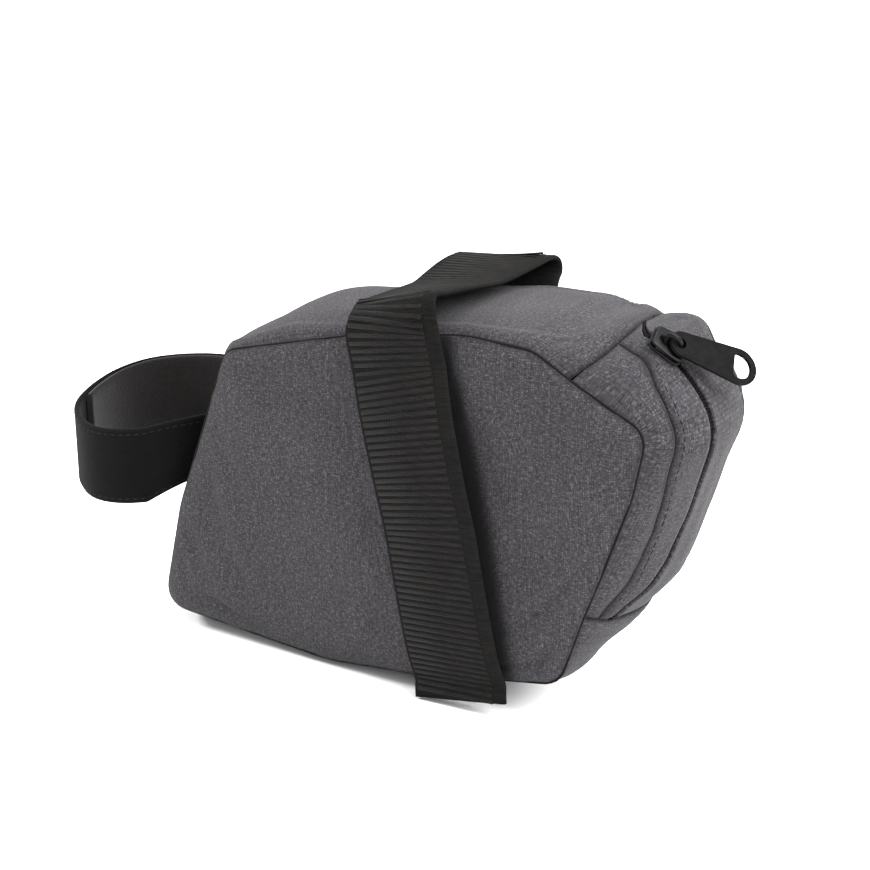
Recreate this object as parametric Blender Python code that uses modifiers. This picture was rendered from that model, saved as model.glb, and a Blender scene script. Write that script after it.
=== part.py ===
"""A wedge-shaped bicycle saddle bag in grey cloth, with a saddle strap, a seat-post loop and a zip.

Metres, +Z up, +X towards the rear of the bicycle. The origin is on the flat underside that the bag
stands on, on its plane of symmetry. The camera side of the bag is the near side, at -Y.
"""
import math
from bisect import bisect_right

import bmesh
import bpy
from mathutils import Matrix, Vector

NAME = "saddle_bag"

# Body
BODY_LENGTH = 0.2015
BODY_HEIGHT = 0.1395
FRONT_REACH = 0.106
TOP_WIDTH = 0.070
BOTTOM_WIDTH = 0.058
SIDE_BULGE = 0.0040
SIDE_ROLL = 0.011
LID_BOW = 0.004
LID_REACH = 0.032
LID_SQUARE = 8
WALL = 0.0018
SEAM_CORD = 0.0016
SEAM_GAP = 0.0007
FRONT_TURN = 0.011
PART_GAP = 0.0003

# Saddle strap, over the top and down both sides
STRAP_WIDTH = 0.038
STRAP_THICK = 0.0018
STRAP_SLANT = math.radians(10.6)
STRAP_FOOT_X = 0.0302
STRAP_FOOT_Z = 0.0043
STRAP_CREST = 0.1452
STRAP_LIFT = 0.0006
STRAP_FAR_FOOT = 0.0180
STRAP_SAG = 0.0045
STRAP_LEAVES = 0.86

# Seat-post loop
LOOP_LENGTH = 0.0590
LOOP_WIDTH = 0.070
LOOP_BAND = 0.0305
LOOP_THICK = 0.0022
LOOP_LAYER_GAP = 0.0006
LOOP_HEIGHT = 0.0722
LOOP_TILT = math.radians(9.5)
LOOP_ROOT = 0.01475
LOOP_BLEND = 5

# Zip, its slider and the moulded pull
ZIP_WIDTH = 0.0030
SLIDER_PLACE = 0.155
SLIDER_TURN = math.radians(11.0)
SLIDER_LENGTH = 0.0105
SLIDER_WIDTH = 0.0085
SLIDER_THICK = 0.0028
BRIDGE_WIRE = 0.0016
BRIDGE_SPAN = 0.0066
BRIDGE_RISE = 0.0048
PIN_HEIGHT = 0.0015
PULL_TURN = math.radians(16.0)
PULL_DROP = math.radians(2.5)
PULL_THICK = 0.0016
PULL_LENGTH = 0.0300
PULL_WIDTH = 0.0115
PULL_NECK = 0.0066
PULL_SLOT = 0.0040
PULL_HOLE = 0.0068

# Far lower rear corner, which lies pushed in and up
TUCK_REACH = 0.045
TUCK_IN = 0.009
TUCK_UP = 0.013

# How finely the panels and straps are divided
TOP_ROWS = 18
BOTTOM_ROWS = 26
FRONT_ROWS = 8
CAP_ROWS = 20
BAND_COLUMNS = 12
SIDE_STEPS = 64
SIDE_RINGS = (0.0, 0.05, 0.14, 0.32, 0.62)
STRAP_ROWS = 16
STRAP_COLUMNS = 3
BEND_STEPS = 3
PROBE = 0.02

# Corners of the side panel, clockwise seen from the near side. Along is a share of the body length
# from the front, up and bend radius are shares of the body height. Crown is how far the middle of the
# band between the sides stands out, as a share of the top width, and fullness shapes its section.
OUTLINE = (
    # name, along, up, bend, crown, fullness
    ("front_top", 0.186, 0.857, 0.065, 0.080, 0.45),
    ("top_front", 0.327, 0.909, 0.450, 0.165, 0.45),
    ("strap_front", 0.486, 0.965, 0.450, 0.092, 0.45),
    ("top_high", 0.685, 1.006, 0.400, 0.085, 0.45),
    ("top_rear", 0.809, 0.996, 0.110, 0.120, 0.45),
    ("lid_seam", 0.878, 0.938, 0.300, 0.245, 0.50),
    ("rear_slope", 0.948, 0.886, 0.300, 0.350, 0.50),
    ("rear_top", 1.015, 0.840, 0.085, 0.235, 0.50),
    ("rear_mid", 0.990, 0.667, 0.350, 0.205, 0.55),
    ("rear_low", 0.940, 0.459, 0.500, 0.220, 0.60),
    ("zip_end", 0.906, 0.330, 0.300, 0.160, 0.65),
    ("rear_bottom", 0.861, 0.131, 0.085, 0.030, 0.80),
    ("bottom_rear", 0.559, 0.048, 0.600, 0.125, 0.70),
    ("bottom_front", 0.377, 0.018, 0.500, 0.080, 0.60),
    ("front_bottom", -0.008, 0.056, 0.070, 0.100, 0.60),
    ("front_mid", 0.052, 0.380, 0.500, 0.060, 0.80),
)

# Zip leg and stitched seam on the rear cap: share of the way from the lid seam to the zip's end,
# and share of the half width, from the middle to the side.
ZIP_LEG = (
    (0.00, 0.12), (0.03, 0.34), (0.06, 0.46), (0.12, 0.53), (0.20, 0.48), (0.29, 0.42),
    (0.36, 0.42), (0.46, 0.37), (0.58, 0.36), (0.74, 0.44), (0.88, 0.60), (1.00, 0.74),
)
SIDE_LEG = (
    (0.00, 0.61), (0.07, 0.70), (0.17, 0.76), (0.28, 0.84), (0.36, 0.84),
    (0.50, 0.80), (0.62, 0.77), (0.75, 0.79), (0.89, 0.83), (1.00, 0.88),
)

# Strap between its two sides: across as a share of half its width over the shoulders, rise above the
# crest as a share of the sag, and how far its rear edge lies outwards and upwards of its front edge.
STRAP_OVER = (
    # across, rise, outwards, upwards
    (-1.00, -1.75, -0.02, 0.20), (-0.99, -0.35, -0.10, 0.24), (-0.90, 0.70, -0.20, 0.27),
    (-0.74, 0.60, -0.15, 0.25), (-0.32, 0.30, -0.04, 0.20), (0.00, 0.04, 0.00, 0.16),
    (0.18, 0.00, 0.04, 0.14), (0.40, 0.20, 0.10, 0.10), (0.66, 0.45, 0.18, 0.06),
    (0.92, 0.58, 0.28, 0.04), (1.06, 0.38, 0.30, 0.05), (1.15, -0.25, 0.26, 0.07),
    (1.17, -1.15, 0.18, 0.10), (1.13, -2.10, 0.07, 0.15),
)

# Sideways bow of the strap: share of its height, and share of its width rearwards.
STRAP_BOW = ((0.0, 0.0), (0.25, 0.05), (0.45, 0.075), (0.70, 0.045), (0.90, 0.03), (1.0, 0.08))

# Seat-post loop in plan, from the middle of the front panel round the near side and back:
# out is a share of the loop length away from the bag, across a share of half the loop width.
LOOP_PATH = (
    # out, across
    (0.000, -0.10), (0.010, -0.45), (0.085, -0.70), (0.240, -0.93), (0.420, -1.08), (0.600, -1.10),
    (0.770, -0.97), (0.900, -0.73), (0.975, -0.36), (0.990, 0.05), (0.930, 0.38), (0.800, 0.62),
    (0.600, 0.80), (0.400, 0.88), (0.210, 0.86), (0.080, 0.72), (0.010, 0.45), (0.000, 0.10),
)
LOOP_OVERLAP = (0.44, 0.84)

FABRIC = (0.075, 0.072, 0.075, 1.0)
WEBBING = (0.024, 0.023, 0.023, 1.0)
BLACK = (0.012, 0.012, 0.012, 1.0)
METAL = (0.030, 0.030, 0.032, 1.0)


def clear_scene():
    """Remove every object of the open scene."""
    for old in list(bpy.data.objects):
        bpy.data.objects.remove(old, do_unlink=True)


def make_material(name, colour, roughness, metallic=0.0):
    """Return a Principled material with one colour."""
    material = bpy.data.materials.new(name)
    material.use_nodes = True
    shader = material.node_tree.nodes["Principled BSDF"]
    shader.inputs["Base Color"].default_value = colour
    shader.inputs["Roughness"].default_value = roughness
    shader.inputs["Metallic"].default_value = metallic
    return material


def interpolate(table, at):
    """Return the second column of a two-column table at a value of its first, straight between rows."""
    keys = [row[0] for row in table]
    index = min(max(bisect_right(keys, at) - 1, 0), len(table) - 2)
    (low, before), (high, after) = table[index], table[index + 1]
    share = min(max((at - low) / (high - low), 0.0), 1.0)
    return before + (after - before) * share


def smooth_path(points, steps):
    """Return points along a Catmull-Rom curve through the given points, steps to each span."""
    ends = [points[0] * 2 - points[1]] + list(points) + [points[-1] * 2 - points[-2]]
    path = []
    for index in range(1, len(ends) - 2):
        before, start, end, after = ends[index - 1:index + 3]
        for step in range(steps):
            u = step / steps
            path.append(0.5 * (2 * start + (end - before) * u
                               + (2 * before - 5 * start + 4 * end - after) * u ** 2
                               + (3 * start - before - 3 * end + after) * u ** 3))
    path.append(points[-1].copy())
    return path


class Outline:
    """The side panel's closed outline: straight runs between rounded corners, measured by length."""

    ARC_STEPS = 8

    def __init__(self):
        """Lay the rounded corners out and measure along them."""
        self.corners = [Vector((BODY_LENGTH * along - FRONT_REACH, BODY_HEIGHT * up))
                        for _, along, up, _, _, _ in OUTLINE]
        self.points, self.normals, self.marks = [], [], {}
        for index, row in enumerate(OUTLINE):
            self._add_corner(index, row[0], row[3] * BODY_HEIGHT)
        self.lengths = [0.0]
        count = len(self.points)
        for index in range(count):
            step = self.points[(index + 1) % count] - self.points[index]
            self.lengths.append(self.lengths[-1] + step.length)
        self.total = self.lengths[-1]
        self.stations = {name: self.lengths[index] for name, index in self.marks.items()}
        self.crowns = [(self.stations[row[0]], row[4], row[5]) for row in OUTLINE]

    def _add_corner(self, index, name, radius):
        """Add one corner's arc, no longer than its two sides allow."""
        corner = self.corners[index]
        before = self.corners[index - 1] - corner
        after = self.corners[(index + 1) % len(self.corners)] - corner
        turn = math.pi - before.angle(after)
        reach = min(radius * math.tan(turn / 2), 0.49 * before.length, 0.49 * after.length)
        start = corner + before.normalized() * reach
        end = corner + after.normalized() * reach
        first = Vector((before.y, -before.x)).normalized()
        last = Vector((-after.y, after.x)).normalized()
        for step in range(self.ARC_STEPS + 1):
            u = step / self.ARC_STEPS
            if step == self.ARC_STEPS // 2:
                self.marks[name] = len(self.points)
            self.points.append(start.lerp(corner, u).lerp(corner.lerp(end, u), u))
            self.normals.append(first.lerp(last, u).normalized())

    def at(self, distance):
        """Return the point and the outward normal at a distance along the outline."""
        distance %= self.total
        index = min(bisect_right(self.lengths, distance) - 1, len(self.points) - 1)
        following = (index + 1) % len(self.points)
        span = self.lengths[index + 1] - self.lengths[index]
        share = (distance - self.lengths[index]) / span if span else 0.0
        normal = self.normals[index].lerp(self.normals[following], share).normalized()
        return self.points[index].lerp(self.points[following], share), normal

    def crown(self, distance):
        """Return the crown height and its fullness at a distance along the outline."""
        distance %= self.total
        rows = self.crowns
        if distance < rows[0][0]:
            distance += self.total
        rows = list(rows) + [(rows[0][0] + self.total, rows[0][1], rows[0][2])]
        index = min(bisect_right([row[0] for row in rows], distance) - 1, len(rows) - 2)
        share = (distance - rows[index][0]) / (rows[index + 1][0] - rows[index][0])
        share = share * share * (3 - 2 * share)
        height = rows[index][1] + (rows[index + 1][1] - rows[index][1]) * share
        fullness = rows[index][2] + (rows[index + 1][2] - rows[index][2]) * share
        return height * TOP_WIDTH, fullness

    def inset(self, point):
        """Return how far a point of the side panel lies inside the outline."""
        count = len(self.points)
        best = BODY_LENGTH
        for index in range(count):
            start = self.points[index]
            along = self.points[(index + 1) % count] - start
            if along.length_squared == 0.0:
                continue
            share = min(max((point - start).dot(along) / along.length_squared, 0.0), 1.0)
            best = min(best, (point - start - along * share).length)
        return best


def half_width(height):
    """Return half the body's width at the seams, at a height."""
    share = height / BODY_HEIGHT
    return (BOTTOM_WIDTH + (TOP_WIDTH - BOTTOM_WIDTH) * share) / 2


def side_offset(outline, point):
    """Return how far the side panel's outer face stands from the middle plane at a point."""
    depth = outline.inset(point)
    return half_width(point.y) + SIDE_BULGE * (1 - math.exp(-depth / SIDE_ROLL))


def settle(outline, point):
    """Return a point of the body with the far lower rear corner pushed in."""
    corner, _ = outline.at(outline.stations["rear_bottom"])
    away = (point - Vector((corner.x, half_width(corner.y), corner.y))).length
    share = max(0.0, 1 - away / TUCK_REACH)
    share = share * share * (3 - 2 * share)
    return point + Vector((0.0, -TUCK_IN, TUCK_UP)) * share


def band_point(outline, distance, across):
    """Return a point on the band between the side panels; across runs from -1 (near) to 1 (far)."""
    lid = outline.stations["lid_seam"]
    near_lid = max(0.0, 1 - abs(distance - lid) / LID_REACH)
    distance = distance + LID_BOW * (1 - across ** LID_SQUARE) * near_lid
    point, normal = outline.at(distance)
    height, fullness = outline.crown(distance)
    lift = height * max(0.0, 1 - across ** 2) ** fullness
    inner = half_width(point.y) - WALL - SEAM_GAP
    x = point.x + normal.x * lift
    z = max(point.y + normal.y * lift, 0.0)
    return settle(outline, Vector((x, inner * across, z)))


def spread(start, end, count):
    """Return evenly spaced values from start to end, both included."""
    return [start + (end - start) * index / count for index in range(count + 1)]


def grid_mesh(name, rows):
    """Return a mesh with one quad between each pair of points of neighbouring rows."""
    mesh = bpy.data.meshes.new(name)
    work = bmesh.new()
    grid = [[work.verts.new(point) for point in row] for row in rows]
    for row, following in zip(grid, grid[1:]):
        for index in range(len(row) - 1):
            work.faces.new((row[index], following[index], following[index + 1], row[index + 1]))
    work.to_mesh(mesh)
    work.free()
    return mesh


def add_object(name, data, material, collection):
    """Link a new object with its material."""
    item = bpy.data.objects.new(name, data)
    item.data.materials.append(material)
    collection.objects.link(item)
    return item


def thicken(item, thickness, offset=-1.0):
    """Give an open surface its wall."""
    solidify = item.modifiers.new("wall", "SOLIDIFY")
    solidify.thickness = thickness
    solidify.offset = offset
    solidify.use_even_offset = True
    item.data.shade_smooth()


def cloth_patch(name, outline, start, end, rows, columns, material, collection):
    """Add one panel of the band; columns gives the across values for a share of the way along."""
    trim = SEAM_GAP / 2
    grid = []
    for share in spread(0.0, 1.0, rows):
        distance = start + trim + (end - start - 2 * trim) * share
        grid.append([band_point(outline, distance, across) for across in columns(share)])
    item = add_object(name, grid_mesh(name, grid), material, collection)
    thicken(item, WALL)
    return item


def between(low, high, count):
    """Return a column function for a strip between two edges, with a seam gap on both sides."""
    trim = SEAM_GAP / TOP_WIDTH

    def columns(share):
        return spread(low(share) + trim, high(share) - trim, count)
    return columns


def full_width(count):
    """Return a column function across the whole band, closer together near the sides."""
    def columns(_share):
        return [math.sin(angle) for angle in spread(-math.pi / 2, math.pi / 2, count)]
    return columns


def add_band(outline, fabric, tape, collection):
    """Add the panels between the two sides: top, rear cap, bottom and front."""
    mark = outline.stations
    total = outline.total
    top, lid = mark["front_top"] - FRONT_TURN, mark["lid_seam"]
    zip_end, front_low = mark["zip_end"], mark["front_bottom"] + FRONT_TURN
    wide = full_width(BAND_COLUMNS)
    cloth_patch("top_panel", outline, top, lid, TOP_ROWS, wide, fabric, collection)
    cloth_patch("bottom_panel", outline, zip_end, front_low, BOTTOM_ROWS, wide, fabric, collection)
    cloth_patch("front_panel", outline, front_low, total + top, FRONT_ROWS, wide, fabric, collection)

    half = ZIP_WIDTH / TOP_WIDTH

    def leg(share):
        return interpolate(ZIP_LEG, share)

    def seam(share):
        return interpolate(SIDE_LEG, share)

    strips = {
        "gusset": (seam, lambda share: 1.0 + SEAM_GAP / TOP_WIDTH, 4),
        "zip_gusset": (lambda share: leg(share) + half, seam, 3),
    }
    for name, (low, high, count) in strips.items():
        cloth_patch(f"{name}_far", outline, lid, zip_end, CAP_ROWS, between(low, high, count),
                    fabric, collection)
        cloth_patch(f"{name}_near", outline, lid, zip_end, CAP_ROWS,
                    between(lambda share, edge=high: -edge(share), lambda share, edge=low: -edge(share), count),
                    fabric, collection)

    cloth_patch("rear_door", outline, lid, zip_end, CAP_ROWS,
                between(lambda share: half - leg(share), lambda share: leg(share) - half, 6),
                fabric, collection)
    cloth_patch("zip_tape_far", outline, lid, zip_end, CAP_ROWS,
                between(lambda share: leg(share) - half, lambda share: leg(share) + half, 2),
                tape, collection)
    cloth_patch("zip_tape_near", outline, lid, zip_end, CAP_ROWS,
                between(lambda share: -leg(share) - half, lambda share: half - leg(share), 2),
                tape, collection)


def add_side(name, outline, side, material, collection):
    """Add one side panel: rings from the seam towards the middle, bulged like a filled bag."""
    count = SIDE_STEPS
    inset = SEAM_CORD
    centre = Vector((BODY_LENGTH / 2 - FRONT_REACH, BODY_HEIGHT / 2))
    mesh = bpy.data.meshes.new(name)
    work = bmesh.new()
    grid = []
    for ring in SIDE_RINGS:
        row = []
        for index in range(count):
            point, normal = outline.at(outline.total * index / count)
            flat = (point - normal * inset).lerp(centre, ring)
            outer = Vector((flat.x, side * side_offset(outline, flat), flat.y))
            row.append(work.verts.new(settle(outline, outer)))
        grid.append(row)
    middle = work.verts.new((centre.x, side * side_offset(outline, centre), centre.y))
    for row, following in zip(grid, grid[1:]):
        for index in range(count):
            after = (index + 1) % count
            work.faces.new((row[index], row[after], following[after], following[index]))
    for index in range(count):
        work.faces.new((grid[-1][index], grid[-1][(index + 1) % count], middle))
    bmesh.ops.recalc_face_normals(work, faces=work.faces)
    outward = sum((face.normal.y for face in work.faces)) * side
    if outward < 0:
        bmesh.ops.reverse_faces(work, faces=work.faces)
    work.to_mesh(mesh)
    work.free()
    item = add_object(name, mesh, material, collection)
    thicken(item, WALL)
    return item


def add_cord(name, points, radius, material, collection, cyclic=False):
    """Add a round cord along points, as a polyline with a bevel."""
    curve = bpy.data.curves.new(name, "CURVE")
    curve.dimensions = "3D"
    curve.bevel_depth = radius
    curve.bevel_resolution = 2
    curve.use_fill_caps = True
    spline = curve.splines.new("POLY")
    spline.points.add(len(points) - 1)
    for target, point in zip(spline.points, points):
        target.co = (*point, 1.0)
    spline.use_cyclic_u = cyclic
    spline.use_smooth = True
    return add_object(name, curve, material, collection)


def add_seam(name, outline, side, material, collection):
    """Add the turned seam that closes a side panel to the band, all the way round."""
    count = SIDE_STEPS
    inset = SEAM_CORD / 2
    points = []
    for index in range(count):
        point, normal = outline.at(outline.total * index / count)
        flat = point - normal * (inset - PART_GAP)
        corner = Vector((flat.x, side * (half_width(point.y) - inset), max(flat.y, inset)))
        points.append(settle(outline, corner))
    add_cord(name, points, inset * 0.9, material, collection, cyclic=True)


def ribbon(name, centres, widths, width, thickness, material, collection, columns=2):
    """Add a flat band: a row of points across each centre along its width direction."""
    rows = []
    for centre, across in zip(centres, widths):
        rows.append([centre + across * width * (step / columns - 0.5) for step in range(columns + 1)])
    item = add_object(name, grid_mesh(name, rows), material, collection)
    thicken(item, thickness, 0.0)
    return item


def strap_foot(rise):
    """Return the strap's middle, on the plane of symmetry, at a distance up its slant."""
    up = Vector((-math.sin(STRAP_SLANT), 0.0, math.cos(STRAP_SLANT)))
    wide = Vector((math.cos(STRAP_SLANT), 0.0, math.sin(STRAP_SLANT)))
    bow = interpolate(STRAP_BOW, rise / (STRAP_CREST / up.z)) * STRAP_WIDTH
    return Vector((STRAP_FOOT_X, 0.0, STRAP_FOOT_Z)) + up * rise + wide * bow


def strap_side(outline, side, start, end, count):
    """Return the strap's centres down one side, lying on the side panel."""
    wide = Vector((math.cos(STRAP_SLANT), 0.0, math.sin(STRAP_SLANT)))
    clear = STRAP_LIFT + STRAP_THICK / 2
    centres = []
    for rise in spread(start, end, count):
        middle = strap_foot(rise)
        edges = [middle + wide * STRAP_WIDTH * share for share in (-0.5, -0.25, 0.0, 0.25, 0.5)]
        reach = max(side_offset(outline, Vector((edge.x, edge.z))) for edge in edges) + clear
        centres.append(middle + Vector((0.0, side * reach, 0.0)))
    return centres


def add_saddle_strap(outline, material, collection):
    """Add the saddle strap: flat down both sides, standing clear of the top between its two folds."""
    flat = Vector((math.cos(STRAP_SLANT), 0.0, math.sin(STRAP_SLANT)))
    crest = (STRAP_CREST - STRAP_FOOT_Z) / math.cos(STRAP_SLANT)
    lean = STRAP_LEAVES * crest
    near = strap_side(outline, -1, 0.0, lean, STRAP_ROWS)
    far = strap_side(outline, 1, lean, STRAP_FAR_FOOT, STRAP_ROWS - 1)
    shoulder = half_width(BODY_HEIGHT) + SIDE_BULGE / 2 + STRAP_LIFT + STRAP_THICK
    over, turns = [near[-1]], [flat]
    for across, rise, outwards, upwards in STRAP_OVER:
        centre = strap_foot(crest + rise * STRAP_SAG)
        over.append(centre + Vector((0.0, across * shoulder, 0.0)))
        turns.append(Vector((1.0, outwards, upwards)).normalized())
    over = smooth_path(over + [far[0]], BEND_STEPS)
    turns = [turn.normalized() for turn in smooth_path(turns + [flat], BEND_STEPS)]
    centres = near[:-1] + over + far[1:]
    widths = [flat] * (len(near) - 1) + turns + [flat] * (len(far) - 1)
    ribbon("saddle_strap", centres, widths, STRAP_WIDTH, STRAP_THICK, material, collection,
           STRAP_COLUMNS)


def front_face(outline):
    """Return a point on the front panel at the loop's height and the panel's upward direction there."""
    mark = outline.stations
    low, high = mark["front_bottom"], outline.total + mark["front_top"]
    distance = low
    while distance < high and band_point(outline, distance, 0.0).z < LOOP_HEIGHT:
        distance += WALL
    point = band_point(outline, distance, 0.0)
    above = band_point(outline, distance + LOOP_BAND / 2, 0.0)
    below = band_point(outline, distance - LOOP_BAND / 2, 0.0)
    return point, (above - below).normalized()


def loop_rows(outline):
    """Return the seat-post loop's centres and width directions, from the front panel and back to it."""
    point, slope = front_face(outline)
    upright = Vector((0.0, 0.0, 1.0))
    base = point.x - LOOP_THICK / 2 - STRAP_LIFT * 2
    plan = [Vector((base - out * LOOP_LENGTH, across * LOOP_WIDTH / 2, 0.0)) for out, across in LOOP_PATH]
    path = smooth_path(plan, BEND_STEPS)
    centres, widths = [], []
    for place in path:
        away = min(1.0, max(0.0, (base - place.x) / LOOP_ROOT))
        height = point.z + place.y * math.tan(LOOP_TILT) * away
        centres.append(Vector((place.x, place.y, height)))
        widths.append(slope.lerp(upright, away).normalized())
    return centres, widths


def add_post_loop(outline, material, collection):
    """Add the seat-post loop: two ends of one band that overlap, hook on loop, down the far side."""
    centres, widths = loop_rows(outline)
    count = len(centres)
    start, meet = (round(count * share) for share in LOOP_OVERLAP)
    offset = (LOOP_THICK + LOOP_LAYER_GAP) / 2
    inner, outer = [], []
    for index, centre in enumerate(centres):
        before = centres[max(index - 1, 0)]
        after = centres[min(index + 1, count - 1)]
        outward = widths[index].cross(after - before).normalized()
        ease = min(1.0, max(0.0, 1 - max(start - index, index - meet) / LOOP_BLEND))
        inner.append(centre - outward * offset * ease)
        outer.append(centre + outward * offset * ease)
    near, far = outer[:meet], inner[start:]
    near[0].y = -PART_GAP
    far[-1].y = PART_GAP
    ribbon("post_strap_hook", near, widths[:meet], LOOP_BAND, LOOP_THICK, material, collection)
    ribbon("post_strap_loop", far, widths[start:], LOOP_BAND, LOOP_THICK, material, collection)


def slider_frame(outline):
    """Return the slider's place and axes: forward along the zip, across it, and off the cloth."""
    lid, zip_end = outline.stations["lid_seam"], outline.stations["zip_end"]

    def on_leg(share):
        return band_point(outline, lid + (zip_end - lid) * share, -interpolate(ZIP_LEG, share))
    place = on_leg(SLIDER_PLACE)
    forward = (on_leg(SLIDER_PLACE + PROBE) - on_leg(SLIDER_PLACE - PROBE)).normalized()
    distance = lid + (zip_end - lid) * SLIDER_PLACE
    across = -interpolate(ZIP_LEG, SLIDER_PLACE)
    sideways = band_point(outline, distance, across + PROBE) - band_point(outline, distance, across - PROBE)
    normal = forward.cross(sideways).normalized()
    forward = Matrix.Rotation(SLIDER_TURN, 3, normal) @ forward
    frame = Matrix((forward, normal.cross(forward), normal)).transposed().to_4x4()
    frame.translation = place + normal * PART_GAP
    return frame


def add_slider(frame, material, collection):
    """Add the slider: a bevelled body with a wire bridge over it, joined into one piece."""
    bpy.ops.mesh.primitive_cube_add(size=1.0)
    body = bpy.context.object
    body.name = "zip_slider"
    body.data.name = "zip_slider"
    size = Matrix.Diagonal((SLIDER_LENGTH, SLIDER_WIDTH, SLIDER_THICK, 1.0))
    body.data.transform(Matrix.Translation((0.0, 0.0, SLIDER_THICK / 2)) @ size)
    body.data.materials.append(material)
    for owner in list(body.users_collection):
        owner.objects.unlink(body)
    collection.objects.link(body)
    body.matrix_world = frame
    bevel = body.modifiers.new("edges", "BEVEL")
    bevel.width = SLIDER_THICK * 0.3
    bevel.segments = 2

    points = []
    for angle in spread(0.0, math.pi, 10):
        points.append(Vector((math.cos(angle) * BRIDGE_SPAN / 2, 0.0,
                              SLIDER_THICK + math.sin(angle) * (BRIDGE_RISE - BRIDGE_WIRE / 2))))
    points.insert(0, points[0] - Vector((0.0, 0.0, SLIDER_THICK / 2)))
    points.append(points[-1] - Vector((0.0, 0.0, SLIDER_THICK / 2)))
    wire = add_cord("slider_bridge", points, BRIDGE_WIRE / 2, material, collection)
    bpy.context.view_layer.update()
    mesh = bpy.data.meshes.new_from_object(wire.evaluated_get(bpy.context.evaluated_depsgraph_get()))
    work = bmesh.new()
    work.from_mesh(mesh)
    bmesh.ops.remove_doubles(work, verts=work.verts, dist=0.00001)
    bmesh.ops.recalc_face_normals(work, faces=work.faces)
    work.to_mesh(mesh)
    work.free()
    bpy.data.objects.remove(wire, do_unlink=True)
    cutters = bpy.data.collections.new("cutters")
    bpy.context.scene.collection.children.link(cutters)
    bridge = bpy.data.objects.new("bridge_shape", mesh)
    cutters.objects.link(bridge)
    bridge.matrix_world = frame
    bridge.hide_render = True
    bridge.display_type = "WIRE"
    union = body.modifiers.new("bridge", "BOOLEAN")
    union.operation = "UNION"
    union.object = bridge


def pull_spline(curve, points):
    """Add one closed outline to a flat curve."""
    spline = curve.splines.new("POLY")
    spline.points.add(len(points) - 1)
    for target, (x, y) in zip(spline.points, points):
        target.co = (x, y, 0.0, 1.0)
    spline.use_cyclic_u = True


def rounded_slot(start, end, start_width, end_width, steps=6):
    """Return a closed outline with a round end at both ends."""
    low, high = start_width / 2, end_width / 2
    points = []
    for angle in spread(math.pi / 2, 3 * math.pi / 2, steps):
        points.append((start + low * (1 + math.cos(angle)), low * math.sin(angle)))
    for angle in spread(-math.pi / 2, math.pi / 2, steps):
        points.append((end - high * (1 - math.cos(angle)), high * math.sin(angle)))
    return points


def add_pull(frame, material, collection):
    """Add the moulded pull: a tab on the slider's bridge, with an open loop at its end."""
    pin = frame @ Matrix.Translation((0.0, 0.0, SLIDER_THICK + PIN_HEIGHT))
    curve = bpy.data.curves.new("zip_pull", "CURVE")
    curve.dimensions = "2D"
    curve.fill_mode = "BOTH"
    curve.extrude = PULL_THICK / 2
    bar = PULL_THICK / 2
    pull_spline(curve, rounded_slot(-bar, PULL_LENGTH, PULL_NECK, PULL_WIDTH, 8))
    slot_end = BRIDGE_SPAN / 2 + BRIDGE_WIRE / 2 + PIN_HEIGHT / 2
    pull_spline(curve, rounded_slot(bar, slot_end, PULL_SLOT, PULL_SLOT)[::-1])
    rim = (PULL_WIDTH - PULL_HOLE) / 2
    hole_start = PULL_LENGTH - rim - PULL_HOLE * 1.15
    pull_spline(curve, rounded_slot(hole_start, PULL_LENGTH - rim, PULL_HOLE * 0.8, PULL_HOLE)[::-1])
    item = add_object("zip_pull", curve, material, collection)
    item.matrix_world = pin @ Matrix.Rotation(PULL_TURN, 4, "Z") @ Matrix.Rotation(PULL_DROP, 4, "Y")


def main():
    """Build the whole bag."""
    clear_scene()
    collection = bpy.data.collections.new(NAME)
    bpy.context.scene.collection.children.link(collection)
    fabric = make_material("woven_cloth", FABRIC, 0.9)
    webbing = make_material("ribbed_webbing", WEBBING, 0.85)
    tape = make_material("zip_tape_black", BLACK, 0.8)
    metal = make_material("painted_zinc", METAL, 0.4, 0.6)
    rubber = make_material("moulded_rubber", BLACK, 0.6)
    outline = Outline()
    add_band(outline, fabric, tape, collection)
    for name, side in (("near", -1), ("far", 1)):
        add_side(f"side_{name}", outline, side, fabric, collection)
        add_seam(f"seam_{name}", outline, side, tape, collection)
    add_saddle_strap(outline, webbing, collection)
    add_post_loop(outline, webbing, collection)
    frame = slider_frame(outline)
    add_slider(frame, metal, collection)
    add_pull(frame, rubber, collection)


main()
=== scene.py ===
"""A wedge-shaped bicycle saddle bag in grey melange cloth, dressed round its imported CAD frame.

Metres, +Z up, +X towards the rear of the bicycle. The near side, which the camera sees, is at -Y.
The body's outline, the straps' routes and the zip's legs repeat the part's own sizes.
"""

import logging
import math
from bisect import bisect_right
from dataclasses import dataclass, field
from enum import Enum
from typing import Any, Callable, Optional, Sequence

import bmesh
import bpy
from mathutils import Matrix, Vector, noise

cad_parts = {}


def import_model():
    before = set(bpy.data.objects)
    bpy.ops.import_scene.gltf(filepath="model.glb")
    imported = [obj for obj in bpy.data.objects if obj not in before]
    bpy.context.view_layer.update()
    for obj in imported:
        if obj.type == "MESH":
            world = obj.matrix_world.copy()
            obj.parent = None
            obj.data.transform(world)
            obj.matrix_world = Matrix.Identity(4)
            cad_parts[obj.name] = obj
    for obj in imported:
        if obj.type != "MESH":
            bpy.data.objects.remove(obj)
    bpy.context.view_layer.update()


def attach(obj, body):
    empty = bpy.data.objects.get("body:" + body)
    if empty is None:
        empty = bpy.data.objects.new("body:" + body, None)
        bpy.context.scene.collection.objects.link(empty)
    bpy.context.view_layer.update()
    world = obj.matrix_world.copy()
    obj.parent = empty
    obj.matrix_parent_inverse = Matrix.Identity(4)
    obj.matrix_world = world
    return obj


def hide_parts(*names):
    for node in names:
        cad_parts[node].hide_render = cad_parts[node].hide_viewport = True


LOG = logging.getLogger("saddle_bag")

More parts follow.
